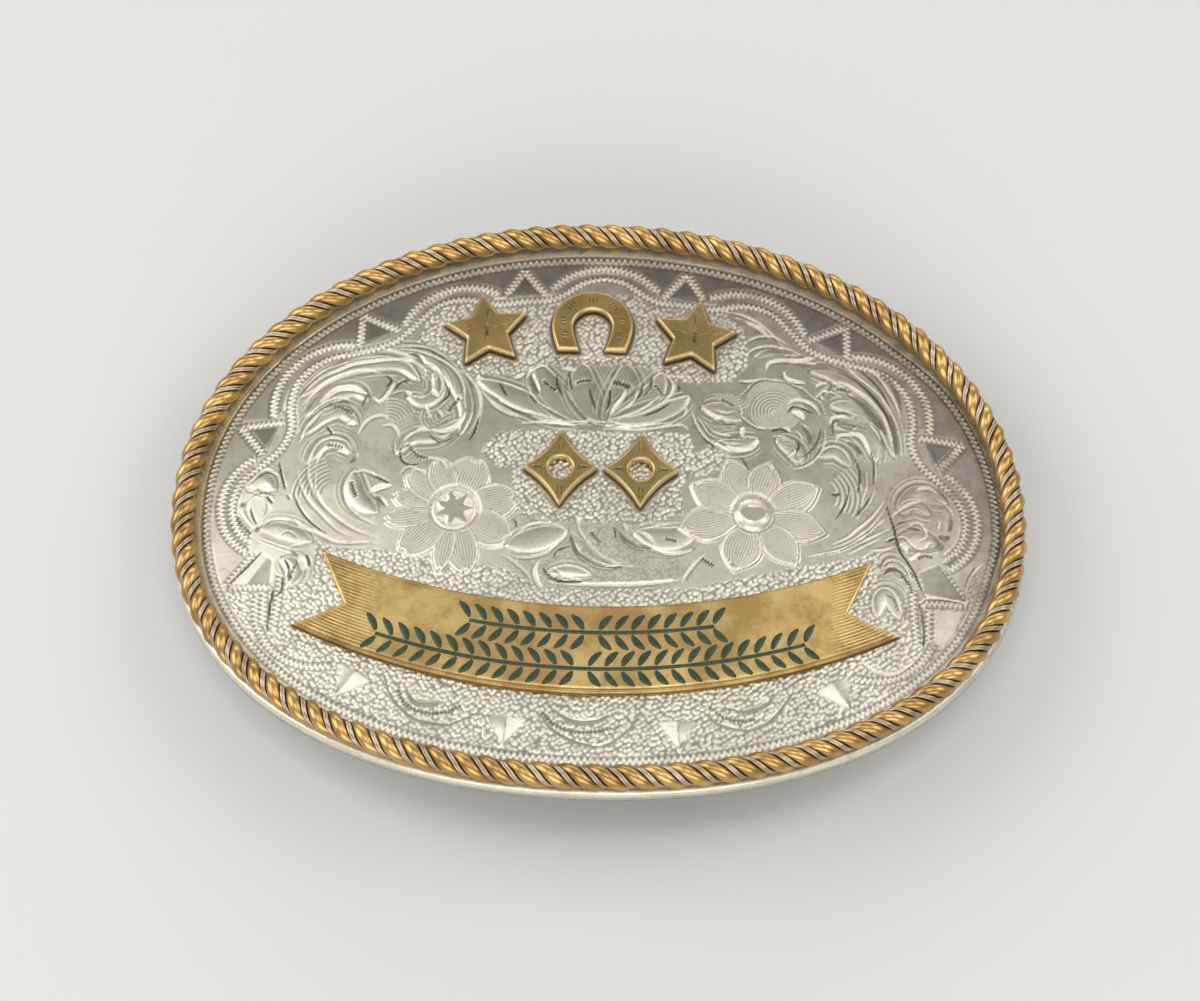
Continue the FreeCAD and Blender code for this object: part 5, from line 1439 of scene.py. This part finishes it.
def laurel_row(start, end, drop, leaf, pitch):
    """Stem parallel to the ribbon's edge with pairs of leaves that point away from the middle."""
    x = np.linspace(start, end, 60)
    stem = np.column_stack([x, ribbon_top(x) - drop])
    strokes = [enamel_stroke(stem, np.full(len(x), STEM_WIDTH))]
    count = int((end - start) / pitch)
    t = np.linspace(0, 1, 7)[:, None]
    widths = 0.16 + 0.66 * np.sin(math.pi * np.linspace(0.06, 0.97, 7)) ** 0.8
    for cx in start + (end - start) * np.arange(count + 1) / count:
        side = -1 if cx < (start + end) / 2 else 1
        slope = (cx - RIBBON_MIDDLE_X) / RIBBON_ARC_RADIUS
        for up in (-1, 1):
            root = np.array([cx, ribbon_top(cx) - drop + up * 0.35])
            lean = np.array([side * 0.62 - slope * up * 0.39, up * 0.78 + slope * side * 0.62])
            bow = np.array([-lean[1], lean[0]]) * side * up * 0.15
            strokes.append(enamel_stroke(root + leaf * lean * t + bow * np.sin(math.pi * t), widths))
    return strokes


def enamel_piece():
    """All enamel strokes as one mesh, closed at the strokes' ends."""
    points, faces, total = [], [], 0
    for rings in (stroke for row in LAUREL_ROWS for stroke in laurel_row(*row)):
        count, sides = rings.shape[:2]
        ids = total + np.arange(count * sides).reshape(count, sides)
        points.append(rings.reshape(-1, 3))
        faces += [grid_faces(count, sides, total, tube=True), ids[:1], ids[-1:, ::-1]]
        total += count * sides
    return new_mesh("ribbon_enamel", np.vstack(points), faces)


def drop_piece(name):
    """Small drop of solder beside the rope: a sphere's grid pushed in and out by soft noise, with a
    point at each pole."""
    x, y, size = SOLDER_DROP["x"], SOLDER_DROP["y"], SOLDER_DROP["size"]
    z = front_z(x) + SOLDER_DROP["rise"]
    around, down = np.meshgrid(np.linspace(0, TAU, 24, endpoint=False),
                               np.linspace(0, math.pi, 14)[1:-1], indexing="ij")
    swell = 1 + 0.35 * (blotches(around * 1.3, down * 1.7, 1.0, 5) - 0.5) * np.sin(down)
    points = np.stack([x + size[0] * swell * np.sin(down) * np.cos(around),
                       y + size[1] * swell * np.sin(down) * np.sin(around),
                       z + size[2] * swell * np.cos(down)], -1).reshape(-1, 3)
    columns, rows = down.shape
    top = np.full(columns, len(points))
    points = np.vstack([points, [x, y, z + size[2]], [x, y, z - size[2]]])
    first = np.arange(columns) * rows
    last = first + rows - 1
    faces = [grid_faces(columns, rows, wrap=True, flip=True),
             np.stack([first, np.roll(first, -1), top], -1),
             np.stack([np.roll(last, -1), last, top + 1], -1)]
    return new_mesh(name, points, faces)


class Sock:
    """A node's socket with the usual arithmetic, each sign a Math node."""

    def __init__(self, paint, socket):
        self.paint, self.socket = paint, socket

    def math(self, operation, first, second):
        return self.paint.node("ShaderNodeMath", {"operation": operation}, {0: first, 1: second})

    def __add__(self, other):
        return self.math("ADD", self, other)

    def __mul__(self, other):
        return self.math("MULTIPLY", self, other)

    def __sub__(self, other):
        return self.math("SUBTRACT", self, other)

    def __rsub__(self, other):
        return self.math("SUBTRACT", other, self)

    __radd__ = __add__
    __rmul__ = __mul__

    def clamp(self):
        """Cut off under 0 and over 1."""
        return self.paint.node("ShaderNodeClamp", {}, {0: self})


class Paint:
    """A material, and short ways to add its nodes."""

    def __init__(self, name):
        self.material = bpy.data.materials.new(name)
        self.material.use_nodes = True
        self.tree = self.material.node_tree
        self.tree.nodes.clear()
        self.shader = self.tree.nodes.new("ShaderNodeBsdfPrincipled")
        output = self.tree.nodes.new("ShaderNodeOutputMaterial")
        self.tree.links.new(self.shader.outputs[0], output.inputs[0])
        self.place = self.node("ShaderNodeTexCoord", {}, {}, "Object")

    def plug(self, node, inputs):
        """Links values to a node's sockets, which are given by number or name, or sets constants."""
        for key, value in inputs.items():
            if isinstance(value, Sock):
                self.tree.links.new(value.socket, node.inputs[key])
            else:
                node.inputs[key].default_value = value

    def node(self, kind, settings, inputs, output=0):
        """Any node: its settings first, then its sockets."""
        made = self.tree.nodes.new(kind)
        for key, value in settings.items():
            setattr(made, key, value)
        self.plug(made, inputs)
        return Sock(self, made.outputs[output])

    def attribute(self, name):
        """The piece's own number at each vertex."""
        return self.node("ShaderNodeAttribute", {"attribute_name": name}, {}, "Fac")

    def noise(self, scale, detail):
        """Soft noise over the object, scale in bumps per metre."""
        return self.node("ShaderNodeTexNoise", {}, {"Vector": self.place, "Scale": scale,
                                                    "Detail": detail, "Roughness": 0.6})

    def mix(self, factor, first, second):
        """Colours mixed by a factor."""
        return self.node("ShaderNodeMix", {"data_type": "RGBA"}, {0: factor, 6: first, 7: second}, 2)

    def ramp(self, value, low, high):
        """Rise from 0 to 1 between two values."""
        return self.node("ShaderNodeMapRange", {}, {0: value, 1: low, 2: high, 3: 0.0, 4: 1.0})

    def bump(self, height, distance, strength):
        """Fine relief by normals, distance in metres."""
        return self.node("ShaderNodeBump", {}, {"Strength": strength, "Distance": distance,
                                                "Height": height})

    def finish(self, colour, roughness, normal, **others):
        """Sets the shader's sockets and gives the material."""
        self.plug(self.shader, {"Base Color": colour, "Roughness": roughness, **others})
        if normal:
            self.plug(self.shader, {"Normal": normal})
        return self.material


def rgb(r, g, b):
    """Colour as the four numbers that a socket takes."""
    return (r, g, b, 1.0)


def silver_paint():
    """Polished nickel silver: grey where it is flat, frosted and pale with painted highlight where it
    is cut or punched, black where blackened and with painted shade in the deep cuts, brown-violet
    where it is tarnished."""
    paint = Paint("nickel_silver")
    frost, soot, tarnish = (paint.attribute(name) for name in ("frost", "soot", "tarnish"))
    fine = paint.noise(2600.0, 2.0)
    flat = paint.mix(paint.ramp(paint.noise(330.0, 4.0), 0.3, 0.7),
                     rgb(0.53, 0.515, 0.425), rgb(0.69, 0.67, 0.55))
    pale = paint.mix(paint.ramp(fine, 0.35, 0.65), rgb(0.96, 0.91, 0.73), rgb(1.0, 0.975, 0.83))
    clean = paint.mix(frost, flat, pale)
    stain = paint.mix(paint.ramp(paint.noise(900.0, 3.0), 0.35, 0.7),
                      rgb(0.33, 0.28, 0.27), rgb(0.45, 0.43, 0.36))
    specks = paint.ramp(paint.noise(1700.0, 5.0), 0.56, 0.72) * 0.4
    dulled = paint.mix((tarnish * (1 - frost * 0.55) * 0.85 + specks).clamp(), clean, stain)
    colour = paint.mix((soot * 0.92).clamp(), dulled, rgb(0.07, 0.06, 0.05))
    roughness = (0.24 + frost * 0.2 + tarnish * 0.12 + fine * 0.06).clamp()
    return paint.finish(colour, roughness, paint.bump(fine, 0.00002, 0.35), Metallic=1.0)


def bronze_paint(name, bright, dull, dark, rough, grain=1400.0, worn=None):
    """Bronze: brighter and duller in blotches, dark in cuts and where shade is painted, with its own
    colour at worn places.
    """
    paint = Paint(name)
    patches = paint.noise(grain, 4.0)
    blotched = patches * 0.5 + paint.noise(220.0, 3.0)
    colour = paint.mix(paint.ramp(blotched, 0.62, 0.86), bright, dull)
    if worn:
        colour = paint.mix((paint.attribute("wear") * 0.75).clamp(), colour, worn)
    colour = paint.mix((paint.attribute("soot") * 0.93).clamp(), colour, dark)
    roughness = (rough + patches * 0.2).clamp()
    return paint.finish(colour, roughness, paint.bump(patches, 0.00004, 0.4), Metallic=1.0)


def plain_metal_paint(name, first, second, rough):
    """Plain metal with fine blotches and a little relief."""
    paint = Paint(name)
    patches = paint.noise(900.0, 4.0)
    colour = paint.mix(paint.ramp(patches, 0.3, 0.7), first, second)
    roughness = (rough + patches * 0.16).clamp()
    return paint.finish(colour, roughness, paint.bump(patches, 0.00005, 0.4), Metallic=1.0)


def enamel_paint():
    """Dark green enamel, a little worn and uneven."""
    paint = Paint("green_enamel")
    patches = paint.noise(1900.0, 4.0)
    colour = paint.mix(paint.ramp(patches, 0.35, 0.7), rgb(0.008, 0.034, 0.017), rgb(0.03, 0.07, 0.032))
    return paint.finish(colour, 0.4, paint.bump(patches, 0.00004, 0.5), **{"Coat Weight": 0.1})


def dress(piece, paint, slot, *nodes):
    """Gives a piece its material, the body that it rides on and the nodes it stands for. The slot
    argument is not used.
    """
    piece.data.materials.append(paint)
    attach(piece, "root")
    if nodes:
        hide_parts(*nodes)


def make_plate():
    """The engraved plate."""
    silver = silver_paint()
    for name, start, end, columns in PLATE_STRIPS:
        dress(plate_strip(name, start, end, columns), silver, "plate_silver", "plate")


def make_rope():
    """The rope edge: thick bronze strands, and thin silvery ones in the hollows between them."""
    bronze = bronze_paint("rope_bronze", rgb(0.7, 0.44, 0.16), rgb(0.48, 0.29, 0.1),
                          rgb(0.05, 0.022, 0.008), 0.23, grain=700.0)
    silvery = bronze_paint("rope_silver", rgb(0.6, 0.51, 0.39), rgb(0.44, 0.35, 0.25),
                           rgb(0.08, 0.04, 0.015), 0.25, grain=700.0)
    thick = strand("rope_thick_strands", *THICK_STRAND, THICK_STRAND_PHASES, THICK_STEPS, THICK_SIDES)
    dress(thick, bronze, "rope_bronze", "rope_edge")
    thin = strand("rope_thin_strands", *THIN_STRAND, THIN_STRAND_PHASES, THIN_STEPS, THIN_SIDES)
    dress(thin, silvery, "rope_bronze", "rope_edge")


def make_ribbon():
    """The ribbon and its enamel."""
    bronze = bronze_paint("ribbon_bronze", rgb(0.86, 0.62, 0.25), rgb(0.56, 0.37, 0.13),
                          rgb(0.1, 0.04, 0.02), 0.27, worn=rgb(0.62, 0.33, 0.15))
    dress(ribbon_piece(), bronze, "ribbon_bronze", "ribbon")
    dress(enamel_piece(), enamel_paint(), "enamel_green")


def make_figures():
    """The five raised figures."""
    bronze = bronze_paint("figure_bronze", rgb(0.46, 0.33, 0.14), rgb(0.35, 0.24, 0.09),
                          rgb(0.05, 0.025, 0.01), 0.28, worn=rgb(0.95, 0.72, 0.36))
    for name, star in STARS.items():
        dress(star_piece(name, *star), bronze, "figure_bronze", name)
    dress(horseshoe_piece("horseshoe"), bronze, "figure_bronze", "horseshoe")
    for name, middle in LOZENGES.items():
        dress(lozenge_piece(name, *middle), bronze, "figure_bronze", name)


def make_small_metal():
    """The drop of solder, and the finish of the frame's own belt loop and hook."""
    solder = plain_metal_paint("grey_solder", rgb(0.3, 0.31, 0.31), rgb(0.42, 0.42, 0.4), 0.4)
    dress(drop_piece("solder_drop"), solder, "rope_bronze")
    brass = plain_metal_paint("back_brass", rgb(0.52, 0.4, 0.18), rgb(0.62, 0.48, 0.24), 0.34)
    for node in ("belt_loop", "belt_hook"):
        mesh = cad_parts[node].data
        mesh.materials.clear()
        mesh.materials.append(brass)


def make_floor():
    """Large pale floor under the buckle."""
    corners = [(-FLOOR_HALF, -FLOOR_HALF, 0), (FLOOR_HALF, -FLOOR_HALF, 0),
               (FLOOR_HALF, FLOOR_HALF, 0), (-FLOOR_HALF, FLOOR_HALF, 0)]
    mesh = bpy.data.meshes.new("floor")
    mesh.from_pydata(corners, [], [(0, 1, 2, 3)])
    mesh.materials.append(Paint("pale_floor").finish(rgb(0.68, 0.68, 0.67), 0.75, None))
    floor = bpy.data.objects.new("floor", mesh)
    bpy.context.scene.collection.objects.link(floor)


def make_camera():
    """Camera at the photograph's angle."""
    turn = Matrix.Identity(3)
    for angle, axis in zip(CAMERA_TILT, "XYZ"):
        turn = turn @ Matrix.Rotation(angle, 3, axis)
    data = bpy.data.cameras.new("camera")
    data.lens, data.sensor_width, data.sensor_fit = CAMERA_LENS, SENSOR_WIDTH, "HORIZONTAL"
    data.clip_start, data.clip_end = 0.01, 20.0
    camera = bpy.data.objects.new("camera", data)
    bpy.context.scene.collection.objects.link(camera)
    place = turn.transposed() @ (Vector(CAMERA_OFFSET) * MM) + Vector((0, 0, CROWN_Z * MM))
    camera.matrix_world = Matrix.Translation(place) @ turn.transposed().to_4x4()
    bpy.context.scene.camera = camera


def make_lights():
    """Warm grey surroundings and soft boxes."""
    world = bpy.data.worlds.new("studio")
    world.use_nodes = True
    background = world.node_tree.nodes["Background"]
    background.inputs["Color"].default_value = rgb(1.0, 0.98, 0.94)
    background.inputs["Strength"].default_value = ROOM_LIGHT
    bpy.context.scene.world = world
    for name, azimuth, elevation, distance, width, height, power in LIGHTS:
        data = bpy.data.lights.new(name, "AREA")
        data.shape, data.size, data.size_y, data.energy = "RECTANGLE", width, height, power
        light = bpy.data.objects.new(name, data)
        bpy.context.scene.collection.objects.link(light)
        a, e = math.radians(azimuth), math.radians(elevation)
        away = Vector((math.sin(a) * math.cos(e), math.cos(a) * math.cos(e), math.sin(e)))
        light.location = away * distance
        light.rotation_euler = away.to_track_quat("Z", "Y").to_euler()
    bpy.context.scene.view_settings.view_transform = "Standard"


make_plate()
make_rope()
make_ribbon()
make_figures()
make_small_metal()
make_floor()
make_camera()
make_lights()
